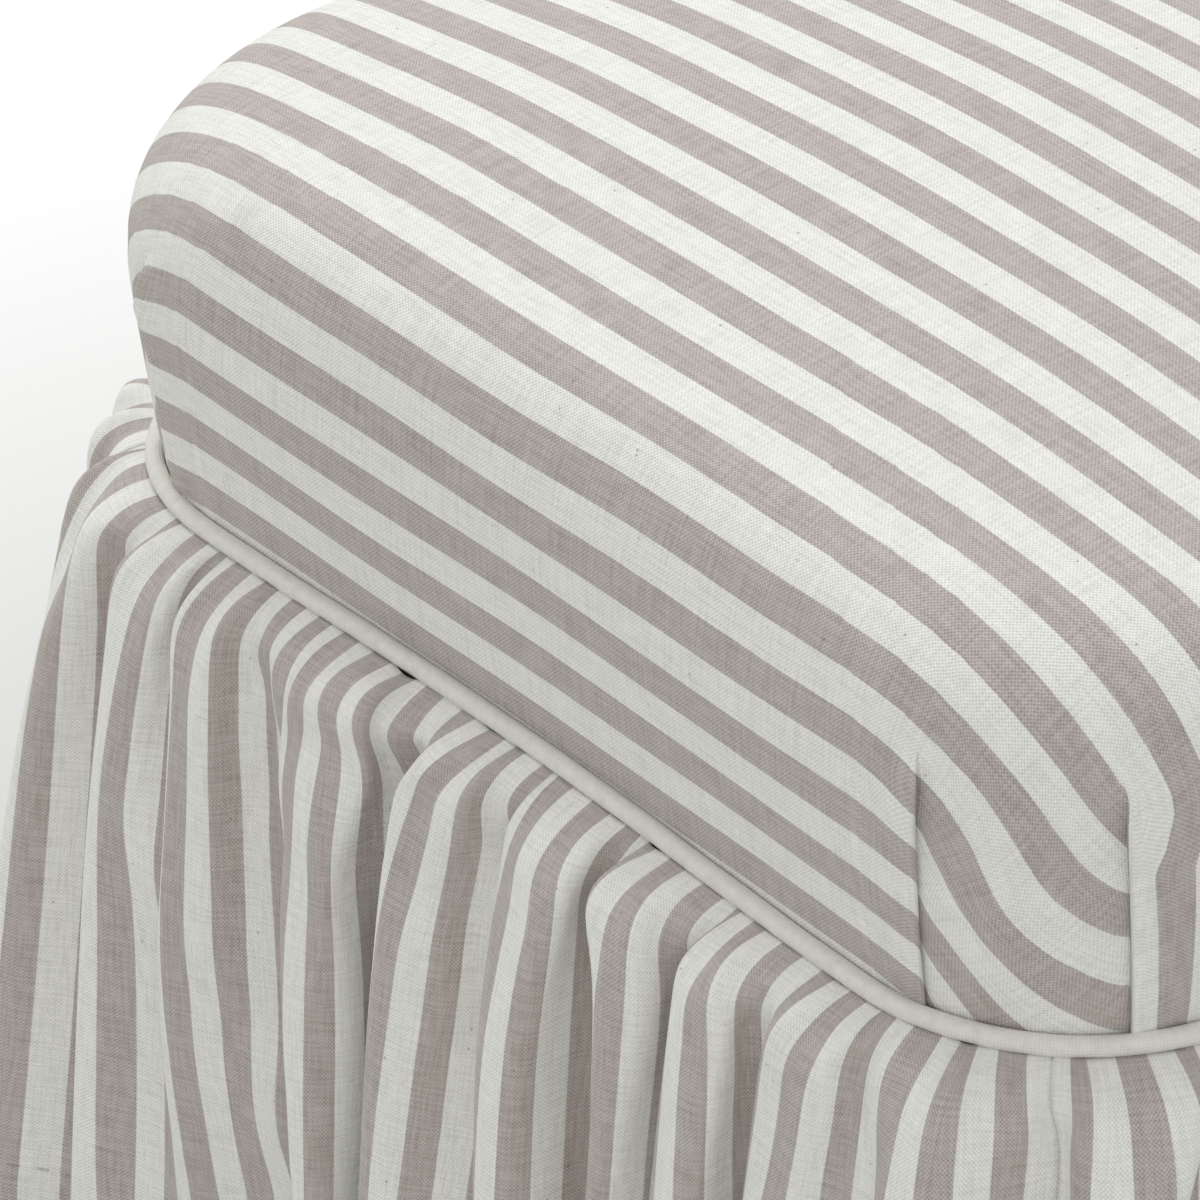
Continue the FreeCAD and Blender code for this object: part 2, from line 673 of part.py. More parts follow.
def leg(corner, turns):
    body = document.addObject("PartDesign::Body", corner + "_leg")
    foot = sketch(body, "XY_Plane", "Sizes.glide_height")
    edge = f"-{LEG_PLACE} - Sizes.leg_foot / 2"
    rectangle(foot, edge, edge, "Sizes.leg_foot", "Sizes.leg_foot")
    shaft = pad(body, foot, LEG_LENGTH)
    shaft.setExpression("TaperAngle", f"atan((Sizes.leg_top - Sizes.leg_foot) / 2 / {LEG_LENGTH})")
    ease_edges(body, shaft, "Chamfer", "Sizes.leg_edge", upright)
    bolt_hole = sketch(body, "XY_Plane", DUST_COVER_LOW)
    circle(bolt_hole, f"-{LEG_PLACE}", f"-{LEG_PLACE}", "Sizes.bolt_diameter / 2 + Sizes.bolt_gap")
    pocket(body, bolt_hole, "Sizes.bolt_in_leg")
    nail_hole = sketch(body, "XY_Plane", "Sizes.glide_height")
    circle(nail_hole, f"-{LEG_PLACE}", f"-{LEG_PLACE}", "Sizes.nail_diameter / 2 + Sizes.nail_gap")
    pocket(body, nail_hole, "Sizes.nail_in_leg", along_normal=True)
    body.Placement = quarter_turns(turns)
    return keep(body, corner + "_leg")


def glide(corner, turns):
    body = document.addObject("PartDesign::Body", corner + "_glide")
    disc = sketch(body, "XY_Plane")
    circle(disc, f"-{LEG_PLACE}", f"-{LEG_PLACE}", "Sizes.glide_diameter / 2")
    puck = pad(body, disc, "Sizes.glide_height")
    ease_edges(body, puck, "Fillet", "Sizes.glide_edge", level_at(0))
    nail_hole = sketch(body, "XY_Plane", "Sizes.glide_height")
    circle(nail_hole, f"-{LEG_PLACE}", f"-{LEG_PLACE}", "Sizes.nail_diameter / 2 + Sizes.nail_gap")
    pocket(body, nail_hole, "Sizes.nail_in_glide")
    body.Placement = quarter_turns(turns)
    return keep(body, corner + "_glide")


def leg_fasteners():
    bolts, nails, inserts = [], [], []
    for turns in range(4):
        x, y = turned(f"-{LEG_PLACE}", f"-{LEG_PLACE}", turns)
        bolt_low = f"({DUST_COVER_LOW} - Sizes.bolt_in_leg)"
        bolt_length = "Sizes.bolt_in_leg + Sizes.dust_cover_thickness + Sizes.bolt_in_insert"
        bolts.append(cylinder("Sizes.bolt_diameter / 2", bolt_length, (x, y, bolt_low)))
        nail_low = "(Sizes.glide_height - Sizes.nail_in_glide)"
        nail_length = "Sizes.nail_in_glide + Sizes.nail_in_leg"
        nails.append(cylinder("Sizes.nail_diameter / 2", nail_length, (x, y, nail_low)))
        place = (x, y, FRAME_FLOOR)
        sleeve = document.addObject("Part::Cut", "insert")
        sleeve.Base = cylinder("Sizes.insert_diameter / 2", "Sizes.insert_length", place)
        sleeve.Tool = cylinder("Sizes.bolt_diameter / 2 + Sizes.bolt_gap", "Sizes.insert_length", place)
        inserts.append(sleeve)
    group(bolts, "hanger_bolts")
    group(inserts, "threaded_inserts")
    group(nails, "glide_nails")


for turns, corner in enumerate(CORNERS):
    leg(corner, turns)
    glide(corner, turns)
leg_fasteners()


# Dust cover and deck cloth: flat cloths with the frame's round corners

def flat_cloth(label, low, thickness, inset):
    body = document.addObject("PartDesign::Body", label)
    drawing = sketch(body, "XY_Plane", low)
    edge = f"({FRAME_HALF} - {inset})"
    rectangle(drawing, f"-{edge}", f"-{edge}", f"2 * {edge}", f"2 * {edge}")
    sheet = pad(body, drawing, thickness)
    ease_edges(body, sheet, "Fillet", f"{POST_RADIUS} - {inset}", upright)
    return body


def dust_cover():
    thickness = "Sizes.dust_cover_thickness"
    body = flat_cloth("dust_cover_blank", DUST_COVER_LOW, thickness, "Sizes.dust_cover_inset")
    holes = sketch(body, "XY_Plane", DUST_COVER_LOW)
    for turns in range(4):
        x, y = turned(f"-{LEG_PLACE}", f"-{LEG_PLACE}", turns)
        circle(holes, x, y, "Sizes.bolt_diameter / 2 + Sizes.dust_cover_hole_gap")
    pocket(body, holes, thickness, along_normal=True)
    return cut_by(body, staples_of("dust_cover"), "dust_cover")


dust_cover()
deck_cloth = flat_cloth("deck_cloth", DECK_CLOTH_LOW, "Sizes.deck_cloth_thickness", "Sizes.deck_cloth_inset")
keep(deck_cloth, "deck_cloth")


# Webbing: straps that pass over and under each other, stapled to the tops of the rails

def strap_shape(place, first_over):
    lower = number(RAIL_TOP)
    upper = lower + size("strap_thickness") + size("weave_gap")
    reach = number(FRAME_HALF) - size("strap_inset")
    half = size("strap_width") / 2
    stations = [(-reach, lower)]
    for k, crossing in enumerate(spread(size("strap_count"), size("strap_pitch"))):
        level = upper if (k % 2 == 0) == first_over else lower
        stations += [(crossing - half, level), (crossing + half, level)]
    inner_edge = number(FRAME_HALF) - size("rail_thickness")
    stations.insert(1, (-inner_edge, lower))
    stations += [(inner_edge, lower), (reach, lower)]
    under = [Vector(x, place - half, z) for x, z in stations]
    over = [point + UP * size("strap_thickness") for point in reversed(under)]
    profile = Part.Face(Part.makePolygon(under + over + under[:1]))
    return profile.extrude(Vector(0, size("strap_width"), 0))


def webbing():
    for k, place in enumerate(spread(size("strap_count"), size("strap_pitch"))):
        crosswise = strap_shape(place, k % 2 == 0)
        lengthwise = strap_shape(place, k % 2 == 1).mirror(Vector(0, 0, 0), Vector(1, -1, 0))
        fixed_shape(crosswise.cut(staples_of("webbing")), f"cross_strap_{k + 1}")
        fixed_shape(lengthwise.cut(staples_of("webbing")), f"long_strap_{k + 1}")


webbing()


# Soft goods

fixed_shape(foam_shape(0), "foam_core")
fixed_shape(batting_shape(), "batting_wrap")
fixed_shape(top_cover_shape().cut([staples_of("skirt"), staples_of("cover")]), "top_cover")
fixed_shape(swept_round(welt_circle(welt_bore() - size("welt_cord_gap"))), "welt_cord")
fixed_shape(welt_casing_shape().cut(staples_of("skirt")), "welt_casing")
fixed_shape(tack_strip_shape().cut(staples_of("skirt")), "tack_strip")
panel = skirt_panel_shape()
for turns, side in enumerate(SIDES):
    fixed_shape(panel, "skirt_" + side, turns)


# Check every object and write each sub-part to its own file

document.recompute()
for item in document.Objects:
    if "Invalid" in item.State or "Error" in item.State:
        raise RuntimeError(f"{item.Label} failed: {item.State}")
for piece in subparts:
    if piece.Shape.isNull() or not piece.Shape.isValid():
        raise RuntimeError(f"{piece.Label} has no valid shape")
os.makedirs("parts", exist_ok=True)
for piece in subparts:
    piece.Shape.exportStep(f"parts/{piece.Label}.step")
print(len(subparts), "sub-parts")
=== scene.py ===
import math

import bmesh
import bpy
import numpy as np
from mathutils import Matrix, Vector


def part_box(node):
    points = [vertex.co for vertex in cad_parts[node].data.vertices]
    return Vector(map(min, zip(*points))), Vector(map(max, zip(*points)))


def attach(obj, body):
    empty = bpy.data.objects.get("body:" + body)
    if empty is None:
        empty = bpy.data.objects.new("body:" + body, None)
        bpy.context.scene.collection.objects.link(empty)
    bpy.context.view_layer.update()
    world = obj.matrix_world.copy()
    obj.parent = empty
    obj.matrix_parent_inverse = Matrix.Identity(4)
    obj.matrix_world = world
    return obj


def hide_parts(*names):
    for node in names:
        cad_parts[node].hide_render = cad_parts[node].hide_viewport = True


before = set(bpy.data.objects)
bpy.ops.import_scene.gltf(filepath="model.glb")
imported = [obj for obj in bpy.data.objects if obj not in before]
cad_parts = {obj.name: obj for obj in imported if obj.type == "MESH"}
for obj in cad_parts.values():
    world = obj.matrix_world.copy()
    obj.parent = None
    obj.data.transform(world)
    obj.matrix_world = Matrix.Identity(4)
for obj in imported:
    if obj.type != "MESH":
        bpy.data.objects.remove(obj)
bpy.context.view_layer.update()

# Frame: planed pine rails butted to quarter-round pine posts with beech dowels.
# The wood is bare, since cloth covers it: pale, with growth rings drawn out along the grain.


def linear(code):
    """An sRGB hex colour as the linear RGBA that a shader reads."""
    channels = [int(code[k:k + 2], 16) / 255 for k in (1, 3, 5)]
    return [c / 12.92 if c <= 0.04045 else ((c + 0.055) / 1.055) ** 2.4 for c in channels] + [1]


def add(tree, kind, links=None, values=None, **settings):
    """Adds a shader node with its settings, socket values and links, and returns it."""
    node = tree.nodes.new("ShaderNode" + kind)
    for name, value in settings.items():
        setattr(node, name, value)
    for socket, value in (values or {}).items():
        node.inputs[socket].default_value = value
    for socket, source in (links or {}).items():
        tree.links.new(source, node.inputs[socket])
    return node


def new_material(name, **surface):
    """A material whose Principled shader has its constant sockets set directly."""
    material = bpy.data.materials.new(name)
    material.use_nodes = True
    shader = material.node_tree.nodes["Principled BSDF"]
    for socket, value in surface.items():
        shader.inputs[socket.replace("_", " ")].default_value = value
    return material, material.node_tree, shader


def finish_nodes(material, *names):
    """Gives CAD nodes this material in place of the plain one they were packed with."""
    for name in names:
        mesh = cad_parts[name].data
        mesh.materials.clear()
        mesh.materials.append(material)


def bare_wood(name, pale, dark, ring_mm, grain, roughness):
    """Planed wood: rings ring_mm apart across the grain and 18 times as long along it."""
    material, tree, shader = new_material(name, Roughness=roughness, IOR=1.5)
    drawn_out = [1 / 18 if axis == grain else 1.0 for axis in "XYZ"]
    place = add(tree, "TexCoord").outputs["Object"]
    along = add(tree, "Mapping", {"Vector": place}, {"Scale": drawn_out}).outputs[0]
    rings = add(tree, "TexNoise", {"Vector": along},
                {"Scale": 500 / ring_mm, "Detail": 3.0, "Roughness": 0.6, "Distortion": 0.8}).outputs[0]
    pores = add(tree, "TexNoise", {"Vector": along}, {"Scale": 1400.0, "Detail": 1.0}).outputs[0]
    both = add(tree, "Math", {0: pores, 2: rings}, {1: 0.25}, operation="MULTIPLY_ADD").outputs[0]
    shade = add(tree, "MapRange", {"Value": both}, {"From Min": 0.5, "From Max": 0.8}).outputs[0]
    colour = add(tree, "Mix", {0: shade}, {6: linear(pale), 7: linear(dark)}, data_type="RGBA").outputs[2]
    tree.links.new(colour, shader.inputs["Base Color"])
    bump = add(tree, "Bump", {"Height": shade}, {"Strength": 0.3, "Distance": 0.0002}).outputs[0]
    tree.links.new(bump, shader.inputs["Normal"])
    return material


finish_nodes(bare_wood("planed_pine_x", "#dcc193", "#b78d55", 6, "X", 0.62), "front_rail", "back_rail")
finish_nodes(bare_wood("planed_pine_y", "#dcc193", "#b78d55", 6, "Y", 0.62), "left_rail", "right_rail")
finish_nodes(bare_wood("planed_pine_z", "#d8bb8b", "#b08650", 6, "Z", 0.62),
             "front_left_post", "front_right_post", "back_right_post", "back_left_post")
finish_nodes(bare_wood("beech_dowel", "#d9b98e", "#b98f61", 2, "X", 0.55), "frame_dowels")

# Legs: tapered beech under a thin satin varnish, each on a moulded nylon glide.
# A hanger bolt runs up through the dust cover into a brass insert, and a nail holds the glide.

CORNERS = ("front_left", "front_right", "back_right", "back_left")
finish_nodes(bare_wood("varnished_beech", "#a97a4c", "#7f5631", 3, "Z", 0.38), *[c + "_leg" for c in CORNERS])


def speckled(name, first, second, grain_mm, bump_mm, **surface):
    """A moulded, drawn or pressed finish: two close colours and a fine uneven surface."""
    material, tree, shader = new_material(name, **surface)
    place = add(tree, "TexCoord").outputs["Object"]
    grain = add(tree, "TexNoise", {"Vector": place}, {"Scale": 1000 / grain_mm, "Detail": 3.0}).outputs[0]
    colour = add(tree, "Mix", {0: grain}, {6: linear(first), 7: linear(second)}, data_type="RGBA").outputs[2]
    tree.links.new(colour, shader.inputs["Base Color"])
    bump = add(tree, "Bump", {"Height": grain}, {"Strength": 0.4, "Distance": bump_mm / 1000}).outputs[0]
    tree.links.new(bump, shader.inputs["Normal"])
    return material


finish_nodes(speckled("moulded_nylon", "#4a4744", "#3b3937", 1.2, 0.05, Roughness=0.45, IOR=1.53),
             *[c + "_glide" for c in CORNERS])
finish_nodes(speckled("turned_brass", "#c9a65c", "#a98643", 0.8, 0.03, Roughness=0.32, Metallic=1.0),
             "threaded_inserts")
zinc_steel = speckled("zinc_plated_steel", "#c2c4c6", "#96999d", 0.7, 0.02, Roughness=0.34, Metallic=1.0)
finish_nodes(zinc_steel, "hanger_bolts", "glide_nails", "webbing_staples", "skirt_staples",
             "cover_staples", "dust_cover_staples")

# Dust cover: black spunbond cambric stapled under the rails, with its raw edge turned in.
# It sags a little between the rails, and a point-bonded grid shows in its surface.


def cloth_object(name, mesh, material, thickness=None, offset=0.0, rounding=0):
    """A finished cloth piece, at the origin, on the one body of the ottoman."""
    piece = bpy.data.objects.new(name, mesh)
    bpy.context.scene.collection.objects.link(piece)
    mesh.materials.append(material)
    mesh.shade_smooth()
    if rounding:
        finer = piece.modifiers.new("rounding", "SUBSURF")
        finer.levels = finer.render_levels = rounding
    if thickness:
        layer = piece.modifiers.new("thickness", "SOLIDIFY")
        layer.thickness = thickness
        layer.offset = offset
    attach(piece, "root")
    return piece


def flat_cloth(name, half, radius, height, sag, step):
    """A flat square of cloth with round corners, cut fine enough to sag in the middle."""
    shape = bmesh.new()
    bmesh.ops.create_grid(shape, x_segments=1, y_segments=1, size=half)
    bmesh.ops.bevel(shape, geom=shape.verts[:], offset=radius, offset_type="OFFSET", affect="VERTICES",
                    segments=10, profile=0.5, material=-1)
    for axis in (Vector((1, 0, 0)), Vector((0, 1, 0))):
        for k in range(1, int(2 * half / step)):
            every = shape.verts[:] + shape.edges[:] + shape.faces[:]
            bmesh.ops.bisect_plane(shape, geom=every, dist=1e-6, plane_co=axis * (k * step - half), plane_no=axis)
    inner = half - 0.028
    for vertex in shape.verts:
        across = max(0, 1 - (vertex.co.x / inner) ** 2) * max(0, 1 - (vertex.co.y / inner) ** 2)
        vertex.co.z = height - sag * across ** 1.5
    mesh = bpy.data.meshes.new(name)
    shape.to_mesh(mesh)
    shape.free()
    return mesh


def woven(name, first, second, thread_mm, bump_mm, **surface):
    """A plain cloth in Object coordinates: crossed threads, thread_mm apart, with slight shade changes."""
    material, tree, shader = new_material(name, **surface)
    place = add(tree, "TexCoord").outputs["Object"]
    axes = add(tree, "SeparateXYZ", {0: place})
    rise = [add(tree, "Math", {0: add(tree, "Math", {0: axes.outputs[k]}, {1: 1000 * math.pi / thread_mm},
                                      operation="MULTIPLY").outputs[0]}, operation="SINE").outputs[0]
            for k in (0, 1)]
    threads = add(tree, "Math", {0: rise[0], 1: rise[1]}, operation="MULTIPLY").outputs[0]
    cloud = add(tree, "TexNoise", {"Vector": place}, {"Scale": 60.0, "Detail": 4.0}).outputs[0]
    both = add(tree, "Math", {0: threads, 2: cloud}, {1: 0.22}, operation="MULTIPLY_ADD").outputs[0]
    colour = add(tree, "Mix", {0: both}, {6: linear(first), 7: linear(second)}, data_type="RGBA").outputs[2]
    tree.links.new(colour, shader.inputs["Base Color"])
    bump = add(tree, "Bump", {"Height": threads}, {"Strength": 0.5, "Distance": bump_mm / 1000}).outputs[0]
    tree.links.new(bump, shader.inputs["Normal"])
    return material


frame_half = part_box("front_rail")[0].y * -1
low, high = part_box("dust_cover")
cambric = woven("spunbond_cambric", "#262626", "#333231", 1.6, 0.15, Roughness=0.92, IOR=1.45)
dust_cover = cloth_object("dust_cover_cambric",
                          flat_cloth("dust_cover_cambric", high.x, 0.0657, (low.z + high.z) / 2, 0.003, 0.02),
                          cambric, thickness=high.z - low.z)
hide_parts("dust_cover")

# Webbing: eight jute straps, drawn tight, laid over and under each other and stapled to the rails.
# The weave is coarse, and a pair of darker warp threads runs along each edge.

jute, tree, shader = new_material("jute_webbing", Roughness=0.9, IOR=1.45)
flat_place = add(tree, "UVMap", uv_map="cloth").outputs[0]
axes = add(tree, "SeparateXYZ", {0: flat_place})
rise = [add(tree, "Math", {0: add(tree, "Math", {0: axes.outputs[k]}, {1: 1000 * math.pi / pitch},
                                  operation="MULTIPLY").outputs[0]}, operation="SINE").outputs[0]
        for k, pitch in ((0, 2.5), (1, 2.0))]
threads = add(tree, "Math", {0: rise[0], 1: rise[1]}, operation="MULTIPLY").outputs[0]
slubs = add(tree, "TexNoise", {"Vector": flat_place}, {"Scale": 500.0, "Detail": 3.0}).outputs[0]
hue = add(tree, "Math", {0: threads, 2: slubs}, {1: 0.2}, operation="MULTIPLY_ADD").outputs[0]
body = add(tree, "Mix", {0: hue}, {6: linear("#8a6d47"), 7: linear("#b5986b")}, data_type="RGBA").outputs[2]
from_middle = add(tree, "Math", {0: axes.outputs[1]}, operation="ABSOLUTE").outputs[0]
edge = add(tree, "Math", {0: from_middle}, {1: 0.0195, 2: 0.0012}, operation="COMPARE").outputs[0]
colour = add(tree, "Mix", {0: edge, 6: body}, {7: linear("#5b3a2c")}, data_type="RGBA").outputs[2]
tree.links.new(colour, shader.inputs["Base Color"])
bump = add(tree, "Bump", {"Height": threads}, {"Strength": 0.7, "Distance": 0.0004}).outputs[0]
tree.links.new(bump, shader.inputs["Normal"])


def cloth_grid(name, points, flat):
    """Cloth from rows of points, lowest row first, with its flat place in metres as its UV map."""
    rows, columns = points.shape[:2]
    shape = bmesh.new()
    bmesh.ops.create_grid(shape, x_segments=columns - 1, y_segments=rows - 1, size=1)
    mesh = bpy.data.meshes.new(name)
    shape.to_mesh(mesh)
    mesh.vertices.foreach_set("co", points.astype(np.float32).ravel())
    corners = np.empty(len(mesh.loops), np.int32)
    mesh.loops.foreach_get("vertex_index", corners)
    flat_map = mesh.uv_layers.new(name="cloth")
    flat_map.data.foreach_set("uv", flat.reshape(-1, 2)[corners].astype(np.float32).ravel())
    shape.clear()
    shape.from_mesh(mesh)
    bmesh.ops.remove_doubles(shape, verts=shape.verts[:], dist=1e-7)
    shape.to_mesh(mesh)
    shape.free()
    return mesh


STRAP_PITCH = 0.085
strap_low, strap_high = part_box("cross_strap_1")
strap_half = (strap_high.y - strap_low.y) / 2
strap_thickness = 0.0015
along = np.linspace(strap_low.x, strap_high.x, 150)
across = np.linspace(-strap_half, strap_half, 9)
for k in range(4):
    middle = (k - 1.5) * STRAP_PITCH
    for kind in ("cross", "long"):
        over = 1 if (k % 2 == 0) == (kind == "cross") else -1
        wave = np.clip(2 * np.cos(np.pi * (along + 1.5 * STRAP_PITCH) / STRAP_PITCH), -1, 1)
        on_rail = np.clip((np.abs(along) - 0.16) / 0.03, 0, 1)
        level = (over * wave * (1 - on_rail) - on_rail) * 0.00085
        height = strap_low.z + strap_thickness / 2 + 0.00085 + level
        length, side = np.meshgrid(along, across)
        points = np.stack([length, side + middle, np.broadcast_to(height, length.shape)], axis=-1)
        if kind == "long":
            points = points[:, ::-1, [1, 0, 2]]
        node = f"{kind}_strap_{k + 1}"
        mesh = cloth_grid(node + "_jute", points, np.stack([length, side], axis=-1))
        strap = cloth_object(node + "_jute", mesh, jute, thickness=strap_thickness)
        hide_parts(node)

# Deck cloth: unbleached calico laid over the webbing, to keep the foam from chafing on it.

low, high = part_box("deck_cloth")
calico = woven("unbleached_calico", "#cfc3a8", "#e0d6bf", 0.8, 0.08, Roughness=0.9, IOR=1.45)
deck_cloth = cloth_object("deck_cloth_calico",
                          flat_cloth("deck_cloth_calico", high.x, 0.0667, (low.z + high.z) / 2, 0.0, 0.05),
                          calico, thickness=high.z - low.z)
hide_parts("deck_cloth")

# Foam core: a block of polyurethane foam, rounded over its upper edge, on the deck cloth.
# The wrap over it is bonded polyester batting, which fills the cover out to its shape.

SEAT_HALF = 0.2415
CORNER_RADIUS = 0.081
CORNER_CENTRE = SEAT_HALF - CORNER_RADIUS
WELT_HEIGHT = 0.302
BULGE = 0.0075
BULGE_HEIGHT = 0.073
EDGE_RISE = 0.053
SHOULDER = 0.034
CROWN = 0.029
WIDEST = SEAT_HALF + BULGE
SIDE_DRAW = 0.004


def boxing_ring(height, depth, draw):
    """Half width, corner radius, side draw and height of the boxing at a height above the welt."""
    stand = BULGE - (BULGE + 0.0035) * max(0, 1 - height / BULGE_HEIGHT) ** 1.4 - depth
    return SEAT_HALF + stand, CORNER_RADIUS + stand, draw, WELT_HEIGHT + height


def crown_ring(share, depth, draw):
    """The same for the rounded edge and the crown, share 0 at the widest line and 1 at the middle."""
    roll = min(share * WIDEST / SHOULDER, 1)
    lift = (1 - (1 - roll) ** 2.8) ** (1 / 2.8)
    dome = 1 - (1 - share) ** 2
    half = max(WIDEST * (1 - share) - depth, 0)
    edge_roundness = (CORNER_RADIUS + BULGE) / WIDEST
    roundness = edge_roundness + (1 - edge_roundness) * share ** 0.7
    rise = BULGE_HEIGHT + EDGE_RISE * lift + CROWN * dome - depth * lift
    return half, half * roundness, draw * max(0, 1 - share * WIDEST / (2 * SHOULDER)), WELT_HEIGHT + rise


def ring_place(ring, along, angle):
    """Plan place of columns on a ring, out from and across a side: along it, or at a corner angle."""
    half, radius, draw, _ = ring
    centre = half - radius
    straight = np.isnan(angle)
    side_out = half - draw * (1 - along ** 2) ** 2
    out = np.where(straight, side_out, centre + radius * np.cos(angle))
    across = np.where(straight, along * centre, centre + radius * np.sin(angle))
    return out, across


def set_round(out, across, height):
    """Points of all four quarters, from the right side round by the back, closed on the first column."""
    quarters = []
    for x, y in ((out, across), (-across, out), (-out, -across), (across, -out)):
        quarters.append(np.stack([x, y, height], axis=-1))
    every = np.concatenate(quarters, axis=1)
    return np.concatenate([every, every[:, :1]], axis=1)


def padding(name, depth, lowest, material, node):
    """A plain padded layer of the cushion, as a closed form down to its flat underside."""
    rings = [boxing_ring(h, depth, SIDE_DRAW) for h in np.linspace(lowest, BULGE_HEIGHT, 6)]
    rings = [(0, 0, 0, rings[0][3])] + rings
    rings += [crown_ring(s, depth, SIDE_DRAW) for s in np.linspace(0, 1, 30)[1:] ** 1.7]
    along = np.concatenate([np.linspace(-1, 1, 13), np.zeros(10)])
    angle = np.concatenate([np.full(13, np.nan), np.radians(np.linspace(0, 90, 12)[1:-1])])
    places = [ring_place(ring, along, angle) for ring in rings]
    out, across = (np.array([place[k] for place in places]) for k in (0, 1))
    height = np.repeat([ring[3] for ring in rings], out.shape[1]).reshape(out.shape)
    points = set_round(out, across, height)
    piece = cloth_object(name, cloth_grid(name, points, points[..., :2]), material)
    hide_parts(node)
    return piece


foam = speckled("polyurethane_foam", "#e3d9a8", "#cfc289", 1.5, 0.8, Roughness=0.95, IOR=1.4)
padding("foam_block", 0.0099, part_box("foam_core")[0].z - WELT_HEIGHT, foam, "foam_core")
fibre = speckled("polyester_batting", "#f2f1ec", "#dfddd6", 3.0, 0.8, Roughness=0.98, IOR=1.4)
padding("batting", 0.0018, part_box("foam_core")[0].z - WELT_HEIGHT - 0.0002, fibre, "batting_wrap")

# Top cover: one piece of striped linen canvas over the top and the boxing, with the stripes front to back.
# At each corner two pleats take in the fullness: the side and front pieces fold over the corner piece.

STRIPE = 0.0127
STRIPE_EDGE = -0.1961
THREAD_MM = 0.72


